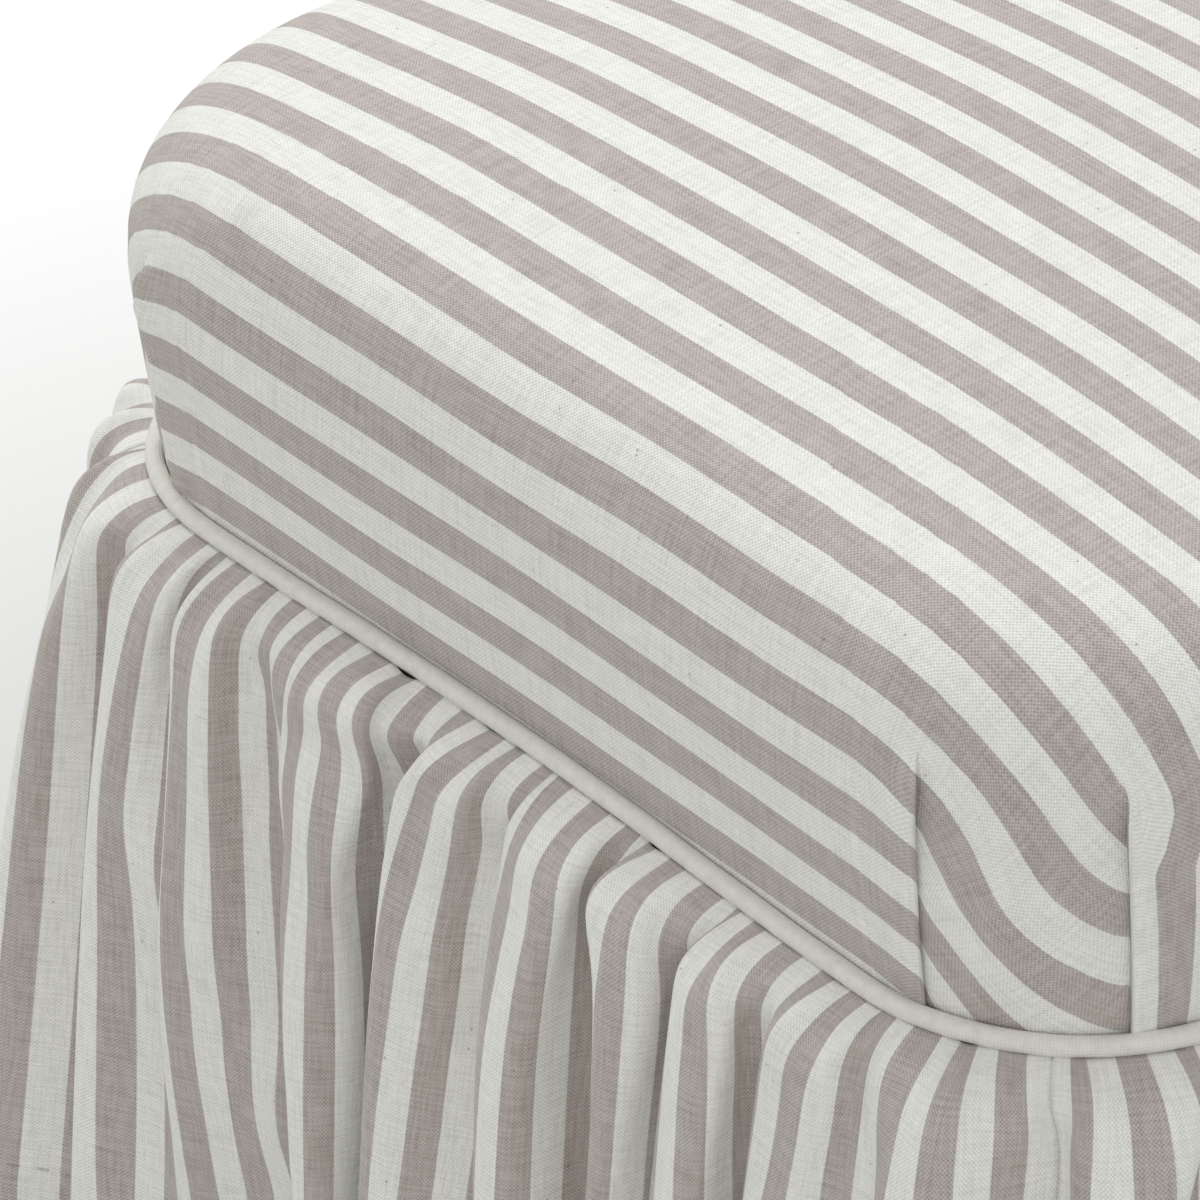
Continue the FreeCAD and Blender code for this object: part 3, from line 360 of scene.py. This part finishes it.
def striped_canvas(name, stitch_line=None):
    """Yarn-dyed linen canvas: plain weave, taupe and off-white stripes, slubs and small dark flecks."""
    material, tree, shader = new_material(name, Roughness=0.85, IOR=1.45, Sheen_Weight=0.2, Sheen_Roughness=0.5)
    flat = add(tree, "UVMap", uv_map="cloth").outputs[0]
    uneven = add(tree, "TexNoise", {"Vector": flat}, {"Scale": 700.0, "Detail": 2.0}).outputs["Color"]
    shift = add(tree, "VectorMath", {0: uneven}, {1: (-0.5, -0.5, -0.5)}, operation="ADD").outputs[0]
    drawn = add(tree, "VectorMath", {0: shift, 2: flat}, {1: (0.0004, 0.0004, 0.0)},
                operation="MULTIPLY_ADD").outputs[0]
    axes = add(tree, "SeparateXYZ", {0: drawn})
    across, along = axes.outputs[0], axes.outputs[1]

    def wave(source, length_mm, start=0.0):
        turns = add(tree, "Math", {0: source}, {1: 2000 * math.pi / length_mm, 2: start},
                    operation="MULTIPLY_ADD").outputs[0]
        return add(tree, "Math", {0: turns}, operation="SINE").outputs[0]

    def product(first, second):
        return add(tree, "Math", {0: first, 1: second}, operation="MULTIPLY").outputs[0]

    threads = product(wave(across, 2 * THREAD_MM), wave(along, 2 * THREAD_MM))
    band = wave(across, 2000 * STRIPE, -math.pi * STRIPE_EDGE / STRIPE)
    pale = add(tree, "MapRange", {"Value": band}, {"From Min": -0.05, "From Max": 0.05}).outputs[0]
    streaks = []
    for scale in ((900.0, 60.0, 1.0), (60.0, 900.0, 1.0)):
        stretched = add(tree, "Mapping", {"Vector": flat}, {"Scale": scale}).outputs[0]
        streaks.append(add(tree, "TexNoise", {"Vector": stretched}, {"Scale": 1.0, "Detail": 2.0}).outputs[0])
    yarn = add(tree, "Math", {0: streaks[0], 1: streaks[1]}, operation="ADD").outputs[0]
    taupe_shade = add(tree, "Math", {0: threads, 2: yarn}, {1: 0.4}, operation="MULTIPLY_ADD").outputs[0]
    taupe_mix = add(tree, "MapRange", {"Value": taupe_shade}, {"From Min": 0.5, "From Max": 1.5}).outputs[0]
    taupe = add(tree, "Mix", {0: taupe_mix}, {6: linear("#9c928b"), 7: linear("#d0c9c4")},
                data_type="RGBA").outputs[2]
    # Off-white stripes: the thread checker darkens the hollows between threads, which is painted weave shade; the yarn
    # streaks are the cloth's own uneven tone.
    white_yarn_and_painted_weave_shade = add(tree, "Math", {0: threads, 2: yarn}, {1: 0.4}, operation="MULTIPLY_ADD").outputs[0]
    white_mix = add(tree, "MapRange", {"Value": white_yarn_and_painted_weave_shade}, {"From Min": 0.4, "From Max": 1.4}).outputs[0]
    white = add(tree, "Mix", {0: white_mix}, {6: linear("#d2d2ca"), 7: linear("#fafaf6")},
                data_type="RGBA").outputs[2]
    cloth = add(tree, "Mix", {0: pale, 6: taupe, 7: white}, data_type="RGBA").outputs[2]
    for streak in streaks:
        slub = add(tree, "MapRange", {"Value": streak}, {"From Min": 0.66, "From Max": 0.74, "To Max": 0.3}).outputs[0]
        cloth = add(tree, "Mix", {0: slub, 6: cloth}, {7: linear("#8d7f70")}, data_type="RGBA").outputs[2]
    specks = add(tree, "TexVoronoi", {"Vector": flat}, {"Scale": 130.0}, feature="F1")
    chance = add(tree, "SeparateColor", {0: specks.outputs["Color"]}).outputs[0]
    near = add(tree, "MapRange", {"Value": specks.outputs["Distance"]},
               {"From Min": 0.03, "From Max": 0.09, "To Min": 1.0, "To Max": 0.0}).outputs[0]
    rare = add(tree, "Math", {0: chance}, {1: 0.76}, operation="GREATER_THAN").outputs[0]
    fleck = add(tree, "Math", {0: product(near, rare)}, {1: 0.55}, operation="MULTIPLY").outputs[0]
    colour = add(tree, "Mix", {0: fleck, 6: cloth}, {7: linear("#6d5947")}, data_type="RGBA").outputs[2]
    height = add(tree, "Math", {0: yarn, 2: threads}, {1: 0.8}, operation="MULTIPLY_ADD").outputs[0]
    if stitch_line:
        turned = add(tree, "Math", {0: along}, {1: stitch_line, 2: 0.0006}, operation="COMPARE").outputs[0]
        gaps = add(tree, "Math", {0: wave(across, 9.0)}, {1: 0.2}, operation="GREATER_THAN").outputs[0]
        dent = product(turned, gaps)
        height = add(tree, "Math", {0: dent, 2: height}, {1: -4.0}, operation="MULTIPLY_ADD").outputs[0]
        dark = add(tree, "Math", {0: dent}, {1: 0.35}, operation="MULTIPLY").outputs[0]
        colour = add(tree, "Mix", {0: dark, 6: colour}, {7: linear("#6f675e")}, data_type="RGBA").outputs[2]
    tree.links.new(colour, shader.inputs["Base Color"])
    bump = add(tree, "Bump", {"Height": height}, {"Strength": 0.55, "Distance": 0.00016}).outputs[0]
    tree.links.new(bump, shader.inputs["Normal"])
    return material


# Section of a pleat: rest place, folded place and stand of each column in millimetres, from the
# outer cloth over the fold and under it to the corner piece, and which cloth it belongs to.
PLEAT = np.array([
    (-16, -16, 0.0, 0), (-12, -12, 0.4, 0), (-9, -9, 0.8, 0), (-6.5, -6, 1.3, 0), (-4.8, -3.6, 1.8, 0),
    (-3.6, -1.8, 2.1, 0), (-2.6, -0.7, 2.1, 0), (-1.8, -0.1, 1.7, 0.1), (-1.0, 0.1, 1.2, 0.3),
    (-0.4, -0.3, 0.7, 0.4), (0, -2.0, 0.4, 0.5), (0.3, -5.5, 0.1, 0.6), (0.7, -5.0, -0.5, 0.7),
    (1.2, -2.0, -0.6, 0.9), (1.8, 0.2, -0.6, 1), (3.2, 1.8, -0.6, 1), (5, 4, -0.5, 1), (8, 7.5, -0.3, 1),
    (11, 11, -0.1, 1), (14, 14, 0.0, 1)])
SIDE_PLEAT = math.radians(16.5)
FRONT_PLEAT = (math.radians(61), math.radians(54.5))
PLEAT_START = 0.093


def smooth(value):
    value = np.clip(value, 0, 1)
    return value * value * (3 - 2 * value)


def cover_corner(ring, height):
    """Angles, stands and cloth shares of a corner's columns, from the left or right side to the front or back."""
    radius = max(ring[1], 0.085)
    fall = np.clip(height / PLEAT_START, 0, 1.3)
    front = FRONT_PLEAT[0] + (FRONT_PLEAT[1] - FRONT_PLEAT[0]) * min(fall, 1)
    folded = smooth((PLEAT_START - height) / 0.012)
    lift = 0.8 + 1.1 * math.exp(-((height - 0.076) / 0.012) ** 2)
    rest, over, stand, share = PLEAT.T
    turn = ((1 - folded) * rest + folded * over) / 1000 / radius
    rise = folded * lift * stand / 1000
    reach = rest / 1000 / radius
    first, last = SIDE_PLEAT + reach[0], front - reach[0]
    inner = SIDE_PLEAT + reach[-1], front - reach[-1]
    side = np.linspace(0, first, 5)[1:-1]
    middle = np.linspace(*inner, 16)[1:-1]
    end = np.linspace(last, math.pi / 2, 9)[1:-1]
    angle = np.concatenate([side, SIDE_PLEAT + turn, middle, (front - turn)[::-1], end])
    flat_angle = np.concatenate([side, SIDE_PLEAT + reach, middle, (front - reach)[::-1], end])
    stands = np.concatenate([0 * side, rise, 0 * middle, rise[::-1], 0 * end])
    cloth = np.concatenate([0 * side, share, 0 * middle + 1, 2 - share[::-1], 0 * end + 2])
    return angle, flat_angle, stands, cloth


tuck = [(0.2327, 0.2327 - CORNER_CENTRE, 0, WELT_HEIGHT - drop) for drop in (0.032, 0.02, 0.008)]
wall = np.linspace(0, BULGE_HEIGHT, 27)
shares = np.concatenate([0.14 * (np.arange(1, 31) / 30) ** 1.6, 0.14 + 0.86 * np.arange(1, 61) / 60])
rings = tuck + [boxing_ring(h, 0, SIDE_DRAW) for h in wall] + [crown_ring(s, 0, SIDE_DRAW) for s in shares]
side_along = np.linspace(-1, 1, 80)
quarters = {0: [], 1: []}
for ring in rings:
    angle, flat_angle, stands, cloth = cover_corner(ring, ring[3] - WELT_HEIGHT)
    for odd in (0, 1):
        if odd:
            angle, flat_angle = math.pi / 2 - angle[::-1], math.pi / 2 - flat_angle[::-1]
            stands, cloth = stands[::-1], cloth[::-1]
        blank = np.full(len(side_along), np.nan)
        column_along = np.concatenate([side_along, 0 * angle])
        shown = ring_place((ring[0], ring[1], ring[2], 0), column_along, np.concatenate([blank, angle]))
        plain = ring_place((ring[0], ring[1], ring[2], 0), column_along, np.concatenate([blank, flat_angle]))
        normal = np.concatenate([blank * 0, angle])
        normal[:len(side_along)] = 0
        stand = np.concatenate([0 * side_along, stands])
        shown = shown[0] + stand * np.cos(normal), shown[1] + stand * np.sin(normal)
        sector = np.concatenate([0 * side_along, cloth])
        quarters[odd].append((*shown, *plain, sector, np.full(len(sector), ring[3])))
every_quarter = []
flat_places = []
for quarter in range(4):
    out, across, plain_out, plain_across, sector, height = np.array(quarters[quarter % 2]).transpose(1, 0, 2)
    beyond_out = np.maximum(plain_out - CORNER_CENTRE, 0)
    beyond_across = np.maximum(plain_across - CORNER_CENTRE, 0)
    reach = np.hypot(beyond_out, beyond_across)
    step = np.hypot(np.diff(reach[::-1], axis=0), np.diff(height[::-1], axis=0))
    step[reach[::-1][1:] <= 0] = 0
    run = np.concatenate([np.zeros((1, step.shape[1])), np.cumsum(step, axis=0)])[::-1]
    angle = np.arctan2(beyond_across, beyond_out)
    fall = WELT_HEIGHT + PLEAT_START - height
    middle = np.abs(sector - 1) < 0.5
    pleat_row = int(np.argmax(fall[:, 0] <= 0))
    kept = np.where(middle, reach, 0.9 * run[pleat_row])
    below = smooth(fall / np.where(middle, 0.05, 0.03))
    ratio = 1 + below * (kept / np.maximum(run, 1e-6) - 1)
    angle = np.where(middle, angle, angle + below * (angle[pleat_row] - angle))
    between = np.flatnonzero(np.abs(sector[0] - 1) < 0.01)
    part = np.interp(np.arange(sector.shape[1]), between[[0, -1]], (0, 1))
    run = run - 0.011 * 4 * part * (1 - part) * smooth(fall / 0.06)
    if quarter % 2:
        sector = 2 - sector
    home = np.clip(sector, 0, 2) * math.pi / 4
    spread = home + ratio * (angle - home)
    corner = (beyond_across > 1e-6) & (beyond_out > 1e-6)
    spread = np.where(corner, spread, angle)
    core_out = np.minimum(plain_out, CORNER_CENTRE)
    core_across = np.clip(plain_across, -CORNER_CENTRE, CORNER_CENTRE)
    flat_out = core_out + run * np.cos(spread)
    flat_across = core_across + run * np.sin(spread)
    x, y = ((out, across), (-across, out), (-out, -across), (across, -out))[quarter]
    u, v = ((flat_out, flat_across), (-flat_across, flat_out),
            (-flat_out, -flat_across), (flat_across, -flat_out))[quarter]
    every_quarter.append(np.stack([x, y, height], axis=-1))
    flat_places.append(np.stack([u, v], axis=-1))
points = np.concatenate(every_quarter + [every_quarter[0][:, :1]], axis=1)
flat = np.concatenate(flat_places + [flat_places[0][:, :1]], axis=1)
from_middle = np.hypot(points[..., 0], points[..., 1])
swell = 0.0008 * np.sin(points[..., 0] * 31 + points[..., 2] * 44) * np.sin(points[..., 1] * 27 - points[..., 2] * 38)
swell *= smooth((points[..., 2] - WELT_HEIGHT) / 0.01) * smooth((from_middle - 0.16) / 0.06)
points[..., :2] *= (1 + swell / np.maximum(from_middle, 0.05))[..., None]
flat[..., 0] += 0.0004 * np.sin(points[..., 1] * 52 + 1.3) * np.sin(points[..., 2] * 40 + points[..., 0] * 9)
canvas = striped_canvas("striped_linen_canvas")
cover = cloth_object("top_cover_canvas", cloth_grid("top_cover_canvas", points, flat), canvas)
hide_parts("top_cover")

# Welt: cotton piping cord in a bias-cut casing of plain off-white canvas, sewn to the cover's lower edge.
# The casing's seam allowance hangs behind the skirt's heading.

WELT_RADIUS = 0.0033
bias, tree, shader = new_material("bias_cut_canvas", Roughness=0.88, IOR=1.45, Sheen_Weight=0.08)
flat_place = add(tree, "UVMap", uv_map="cloth").outputs[0]
turned = add(tree, "Mapping", {"Vector": flat_place}, {"Rotation": (0, 0, math.pi / 4)}).outputs[0]
axes = add(tree, "SeparateXYZ", {0: turned})
rise = [add(tree, "Math", {0: add(tree, "Math", {0: axes.outputs[k]}, {1: 1000 * math.pi / THREAD_MM},
                                  operation="MULTIPLY").outputs[0]}, operation="SINE").outputs[0]
        for k in (0, 1)]
threads = add(tree, "Math", {0: rise[0], 1: rise[1]}, operation="MULTIPLY").outputs[0]
cloud = add(tree, "TexNoise", {"Vector": flat_place}, {"Scale": 300.0, "Detail": 3.0}).outputs[0]
both = add(tree, "Math", {0: threads, 2: cloud}, {1: 0.25}, operation="MULTIPLY_ADD").outputs[0]
colour = add(tree, "Mix", {0: both}, {6: linear("#d6d5cc"), 7: linear("#f0f0ea")}, data_type="RGBA").outputs[2]
tree.links.new(colour, shader.inputs["Base Color"])
bump = add(tree, "Bump", {"Height": threads}, {"Strength": 0.5, "Distance": 0.00015}).outputs[0]
tree.links.new(bump, shader.inputs["Normal"])

along = np.concatenate([np.linspace(-1, 1, 90), np.zeros(34)])
angle = np.concatenate([np.full(90, np.nan), np.radians(np.linspace(0, 90, 36)[1:-1])])
section = np.radians(np.linspace(-250, 110, 17))
rows = []
for turn in section:
    ring = (SEAT_HALF + WELT_RADIUS * math.cos(turn), CORNER_RADIUS + WELT_RADIUS * math.cos(turn), SIDE_DRAW, 0)
    out, across = ring_place(ring, along, angle)
    rows.append((out, across, np.full(len(out), WELT_HEIGHT + WELT_RADIUS * math.sin(turn))))
out, across, height = np.array(rows).transpose(1, 0, 2)
points = set_round(out, across, height)
run = np.concatenate([[0], np.cumsum(np.linalg.norm(np.diff(points[0], axis=0), axis=1))])
lumps = 0.0002 * np.sin(run * 95) * np.sin(run * 37 + 0.6)
points[..., 2] += lumps
length, girth = np.meshgrid(run, section * WELT_RADIUS)
welt = cloth_object("welt_piping", cloth_grid("welt_piping", points, np.stack([length, girth], axis=-1)),
                    bias)
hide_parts("welt_casing", "welt_cord")

# Tack strip: a strip of brown board, stapled over the skirt's heading to hold it straight.

finish_nodes(speckled("brown_board", "#a98a62", "#8e7049", 1.0, 0.1, Roughness=0.85, IOR=1.45), "tack_strip")

# Skirt: four panels of the same canvas, gathered to a little over half their width and seamed at
# the corners. The heading is stapled under the welt face down and turned over, so it puffs out, then hangs.

FULLNESS = 1.9
PANEL_RUN = 2 * CORNER_CENTRE + CORNER_RADIUS * math.pi / 2
PANEL_FLAT = FULLNESS * PANEL_RUN
SKIRT_DROP = 0.318
HEM_HEIGHT = 0.009
HANG_FRAMES = 40
PANEL_COLUMNS = 170
FOLD_WIDTHS = (47, 33, 35, 75, 50, 43, 45, 38, 36, 47)
flat_step = PANEL_FLAT / PANEL_COLUMNS
strip = np.arange(4 * PANEL_COLUMNS) * flat_step


def soften(values, reach):
    """Smooths values along the closed strip over about reach metres of cloth."""
    waves = np.fft.rfftfreq(len(values), flat_step)
    return np.fft.irfft(np.fft.rfft(values) * np.exp(-2 * (math.pi * waves * reach) ** 2), len(values))


def wander(reach, seed):
    """A smooth random line along the closed strip, about one unit in size."""
    line = soften(np.random.RandomState(seed).normal(size=len(strip)), reach)
    return line / line.std()


def welt_line(run):
    """Plan place and outward angle at a distance along the welt, from the front right corner's middle."""
    quarter = np.floor(run / PANEL_RUN)
    local = run - quarter * PANEL_RUN
    eighth = CORNER_RADIUS * math.pi / 4
    across = local - eighth - CORNER_CENTRE
    straight = np.abs(across) <= CORNER_CENTRE
    past = np.clip((np.abs(across) - CORNER_CENTRE) / eighth, 0, 1) * np.sign(across)
    angle = past * math.pi / 4
    sag = SIDE_DRAW * (1 - np.clip(across / CORNER_CENTRE, -1, 1) ** 2) ** 2
    out = np.where(straight, SEAT_HALF - sag, CORNER_CENTRE + CORNER_RADIUS * np.cos(angle))
    over = np.where(straight, across, np.sign(across) * CORNER_CENTRE + CORNER_RADIUS * np.sin(angle))
    turn = quarter * math.pi / 2
    x = out * np.cos(turn) - over * np.sin(turn)
    y = out * np.sin(turn) + over * np.cos(turn)
    return x, y, angle + turn, np.abs(past)


valleys = np.cumsum((0,) + FOLD_WIDTHS) / sum(FOLD_WIDTHS)
every_valley = np.concatenate([valleys[:-1] + quarter for quarter in range(-1, 5)]) * PANEL_FLAT
counted = np.arange(len(every_valley)) * 2 * math.pi
phase = soften(np.interp(strip, every_valley, counted) - strip * 2 * math.pi * len(FOLD_WIDTHS) / PANEL_FLAT, 0.008)
phase += strip * 2 * math.pi * len(FOLD_WIDTHS) / PANEL_FLAT
fold_size, half_size = 1 + 0.25 * wander(0.05, 4), 1 + 0.4 * wander(0.04, 6)
offset, lean_by = wander(0.05, 5), wander(0.05, 8)
gathers = np.sin(2 * math.pi * strip / 0.028 + 1.5 * wander(0.03, 7)) * (1 + 0.4 * wander(0.02, 10))
fine = np.linspace(0, SKIRT_DROP, 1200)
lean = np.radians(15 + 72.6 * smooth(fine / 0.033))
mean_stand = 0.0015 + np.concatenate([[0], np.cumsum(np.cos(lean[1:]))]) * (fine[1] - fine[0])
mean_height = 0.2998 - np.concatenate([[0], np.cumsum(np.sin(lean[1:]))]) * (fine[1] - fine[0])
drops = np.concatenate([np.linspace(0, 0.05, 12), np.linspace(0.05, SKIRT_DROP, 40)[1:]])
_, _, _, at_corner = welt_line(strip / FULLNESS)
rows = []
for k, drop in enumerate(drops):
    stand, level, tilt = (np.interp(drop, fine, line) for line in (mean_stand, mean_height, lean))
    stand = stand * (1 + 0.25 * at_corner * smooth(drop / 0.05))
    heading = math.exp(-(drop / 0.03) ** 2)
    leaning = phase + 1.3 * lean_by * drop / SKIRT_DROP
    main_folds = np.sin(leaning) * fold_size
    half_folds = np.sin(2 * leaning + 0.9 * offset) * half_size
    wrinkle = ((0.3 + 0.7 * smooth(drop / 0.06)) * main_folds
               + (0.1 + 0.85 * math.exp(-(drop / 0.07) ** 2)) * half_folds + 1.25 * heading * gathers)
    bend = np.linspace(0, 3, 61)
    advance = np.array([np.cos(b * wrinkle).mean() for b in bend])
    least = int(np.argmin(advance))
    curve = soften((at_corner > 0) / CORNER_RADIUS, 0.03)
    wanted = np.clip((1 + stand * curve) / FULLNESS, advance[least] + 0.01, 0.995)
    turn = np.interp(-wanted, -advance[:least + 1], bend[:least + 1]) * wrinkle
    run = np.cumsum(np.cos(turn) / (1 + stand * curve)) * flat_step
    run -= soften(run - strip / FULLNESS, 0.03)
    depth = np.cumsum(np.sin(turn)) * flat_step
    depth -= soften(depth - depth.mean(), 0.04) + depth.mean()
    x, y, outward, _ = welt_line(np.mod(run, 4 * PANEL_RUN))
    out = stand + depth * math.sin(tilt)
    x, y = x + out * np.cos(outward), y + out * np.sin(outward)
    height = level + (depth - 0.006) * math.cos(tilt) * smooth((drop - 0.005) / 0.02)
    height = np.minimum(height, 0.2998)
    if drop > 0.05:
        gap = drops[k] - drops[k - 1]
        aside = np.hypot(x - rows[-1][0], y - rows[-1][1])
        height = rows[-1][2] - np.sqrt(np.maximum(gap ** 2 - aside ** 2, (0.55 * gap) ** 2))
    rows.append((x, y, height))
points = np.array(rows).transpose(0, 2, 1)[::-1]
points = np.concatenate([points, points[:, :1]], axis=1)
deep, wide = points.shape[:2]
length, up = np.meshgrid(np.arange(wide) * flat_step, SKIRT_DROP - drops[::-1])
start = points + np.random.RandomState(9).normal(size=points.shape) * 1e-5
mesh = cloth_grid("skirt_start", start, np.stack([length, up], axis=-1))
hanging = bpy.data.objects.new("skirt_start", mesh)
bpy.context.scene.collection.objects.link(hanging)
hanging.shape_key_add(name="gathered")
cut = hanging.shape_key_add(name="cut")
cut.data.foreach_set("co", np.stack([length, 0 * length, up], axis=-1).astype(np.float32).ravel())
cut.value = 0
sewn = hanging.vertex_groups.new(name="sewn")
held = np.repeat((drops[::-1] <= 0.005)[:, None], wide, axis=1)
held[:, (0, -1)] = True
sewn.add(np.flatnonzero(held).tolist(), 1.0, "REPLACE")
cloth = hanging.modifiers.new("cloth", "CLOTH")
for setting, value in (("rest_shape_key", cut), ("vertex_group_mass", "sewn"), ("quality", 5), ("mass", 0.004),
                       ("tension_stiffness", 25), ("compression_stiffness", 25), ("shear_stiffness", 8),
                       ("bending_stiffness", 0.3), ("tension_damping", 10), ("compression_damping", 10),
                       ("shear_damping", 8), ("bending_damping", 2), ("air_damping", 2)):
    setattr(cloth.settings, setting, value)
for setting, value in (("use_collision", True), ("distance_min", 0.002), ("use_self_collision", True),
                       ("self_distance_min", 0.002), ("self_friction", 3), ("collision_quality", 2)):
    setattr(cloth.collision_settings, setting, value)
shape = bmesh.new()
bmesh.ops.create_grid(shape, x_segments=1, y_segments=1, size=SEAT_HALF - 0.001)
bmesh.ops.bevel(shape, geom=shape.verts[:], offset=CORNER_RADIUS, offset_type="OFFSET", affect="VERTICES",
                segments=16, profile=0.5, material=-1)
raised = bmesh.ops.extrude_face_region(shape, geom=shape.faces[:])["geom"]
bmesh.ops.translate(shape, verts=[v for v in raised if isinstance(v, bmesh.types.BMVert)], vec=(0, 0, 0.294))
bmesh.ops.recalc_face_normals(shape, faces=shape.faces[:])
mesh = bpy.data.meshes.new("skirt_form")
shape.to_mesh(mesh)
shape.free()
form = bpy.data.objects.new("skirt_form", mesh)
bpy.context.scene.collection.objects.link(form)
form.modifiers.new("collision", "COLLISION")
form.collision.thickness_outer = 0.002
form.collision.cloth_friction = 5
cloth.point_cache.frame_end = HANG_FRAMES
for number in range(1, HANG_FRAMES + 1):
    bpy.context.scene.frame_set(number)
settled = hanging.evaluated_get(bpy.context.evaluated_depsgraph_get()).data
hung = np.empty(3 * deep * wide, np.float32)
settled.vertices.foreach_get("co", hung)
points = hung.reshape(deep, wide, 3).astype(float)
bpy.context.scene.frame_set(1)
bpy.data.objects.remove(hanging)
bpy.data.objects.remove(form)
points[:, -1] = points[:, 0]
points[:, 1:-1] = (points[:, :-2] + 2 * points[:, 1:-1] + points[:, 2:]) / 4
for _ in range(3):
    points[1:-1] = (points[:-2] + 2 * points[1:-1] + points[2:]) / 4
aside = points[..., :2] - np.clip(points[..., :2], -CORNER_CENTRE, CORNER_CENTRE)
far = np.linalg.norm(aside, axis=-1)
flare = 0.003 + 0.036 * 2 * np.abs(aside[..., 0] * aside[..., 1]) / far ** 2
flare *= np.clip((0.285 - points[..., 2]) / 0.276, 0, 1) ** 1.2
flare -= 0.7 * np.maximum(far - CORNER_RADIUS - 0.04, 0)
points[..., :2] += aside * (flare / far)[..., None]
hem = points[0, :, 2]
above = np.clip((points[..., 2] - hem) / (0.26 - hem), 0, 1)
points[..., 2] += (HEM_HEIGHT - hem) * (1 - above)
canvas_with_hem = striped_canvas("striped_linen_canvas_hemmed", stitch_line=0.022)
for quarter, side in enumerate(("right", "back", "left", "front")):
    first = quarter * PANEL_COLUMNS
    panel_points = points[:, first:first + PANEL_COLUMNS + 1]
    length, up = np.meshgrid(np.arange(PANEL_COLUMNS + 1) * flat_step + 0.0031 * quarter, SKIRT_DROP - drops[::-1])
    mesh = cloth_grid(f"skirt_{side}_canvas", panel_points, np.stack([length, up], axis=-1))
    panel = cloth_object(f"skirt_{side}_canvas", mesh, canvas_with_hem,
                         thickness=0.0014, offset=-1.0, rounding=1)
    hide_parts("skirt_" + side)

# Studio: a plain pale floor that turns white away from the ottoman, a white surround and soft light
# from a large panel overhead and a weaker one on the camera's left.

shape = bmesh.new()
bmesh.ops.create_grid(shape, x_segments=1, y_segments=1, size=12)
mesh = bpy.data.meshes.new("studio_floor")
shape.to_mesh(mesh)
shape.free()
floor = bpy.data.objects.new("studio_floor", mesh)
bpy.context.scene.collection.objects.link(floor)
paper, tree, shader = new_material("studio_paper", Roughness=0.9)
shader.inputs["Base Color"].default_value = linear("#d8d8d5")
place = add(tree, "TexCoord").outputs["Object"]
distance = add(tree, "VectorMath", {0: place}, operation="LENGTH").outputs["Value"]
away = add(tree, "MapRange", {"Value": distance}, {"From Min": 0.4, "From Max": 0.85}).outputs[0]
path = add(tree, "LightPath")
seen = path.outputs["Is Camera Ray"]
for ray in ("Is Glossy Ray", "Is Transmission Ray"):
    seen = add(tree, "Math", {0: seen, 1: path.outputs[ray]}, operation="MAXIMUM").outputs[0]
share = add(tree, "Math", {0: seen, 1: away}, operation="MULTIPLY").outputs[0]
white = add(tree, "Emission", values={"Color": (1, 1, 1, 1), "Strength": 1.0}).outputs[0]
blend = add(tree, "MixShader", {0: share, 1: shader.outputs[0], 2: white}).outputs[0]
tree.links.new(blend, tree.nodes["Material Output"].inputs["Surface"])
mesh.materials.append(paper)

world = bpy.data.worlds.new("studio")
bpy.context.scene.world = world
world.use_nodes = True
tree = world.node_tree
path = add(tree, "LightPath")
seen = path.outputs["Is Camera Ray"]
for ray in ("Is Glossy Ray", "Is Transmission Ray"):
    seen = add(tree, "Math", {0: seen, 1: path.outputs[ray]}, operation="MAXIMUM").outputs[0]
level = add(tree, "MapRange", {"Value": seen}, {"To Min": 0.7, "To Max": 1.0}).outputs[0]
tree.links.new(level, tree.nodes["Background"].inputs["Strength"])
tree.nodes["Background"].inputs["Color"].default_value = (1, 1, 1, 1)

for name, place, aim, side, power in (("overhead_panel", (0.2, 1.4, 2.5), (0, 0, 0.3), 1.6, 27),
                                      ("side_panel", (-2.0, -2.0, 1.6), (0, 0, 0.25), 1.6, 7)):
    lamp = bpy.data.lights.new(name, "AREA")
    lamp.shape = "SQUARE"
    lamp.size = side
    lamp.energy = power
    holder = bpy.data.objects.new(name, lamp)
    holder.location = place
    holder.rotation_euler = (Vector(aim) - Vector(place)).to_track_quat("-Z", "Y").to_euler()
    bpy.context.scene.collection.objects.link(holder)

# Camera: a long lens from above the front left corner, turned slightly on its axis as the photograph is.

lens = bpy.data.cameras.new("photograph_view")
lens.lens = 197.1
lens.sensor_width = 36
lens.clip_end = 100
camera = bpy.data.objects.new("photograph_view", lens)
swing, dip, tilt = (math.radians(angle) for angle in (39.952, 32.054, -1.19))
turn = (Matrix.Rotation(-swing, 4, "Z") @ Matrix.Rotation(math.pi / 2 - dip, 4, "X")
        @ Matrix.Rotation(-tilt, 4, "Z"))
camera.matrix_world = Matrix.Translation((-1.3021, -1.3054, 1.4075)) @ turn
bpy.context.scene.collection.objects.link(camera)
bpy.context.scene.camera = camera
bpy.context.scene.view_settings.view_transform = "Standard"
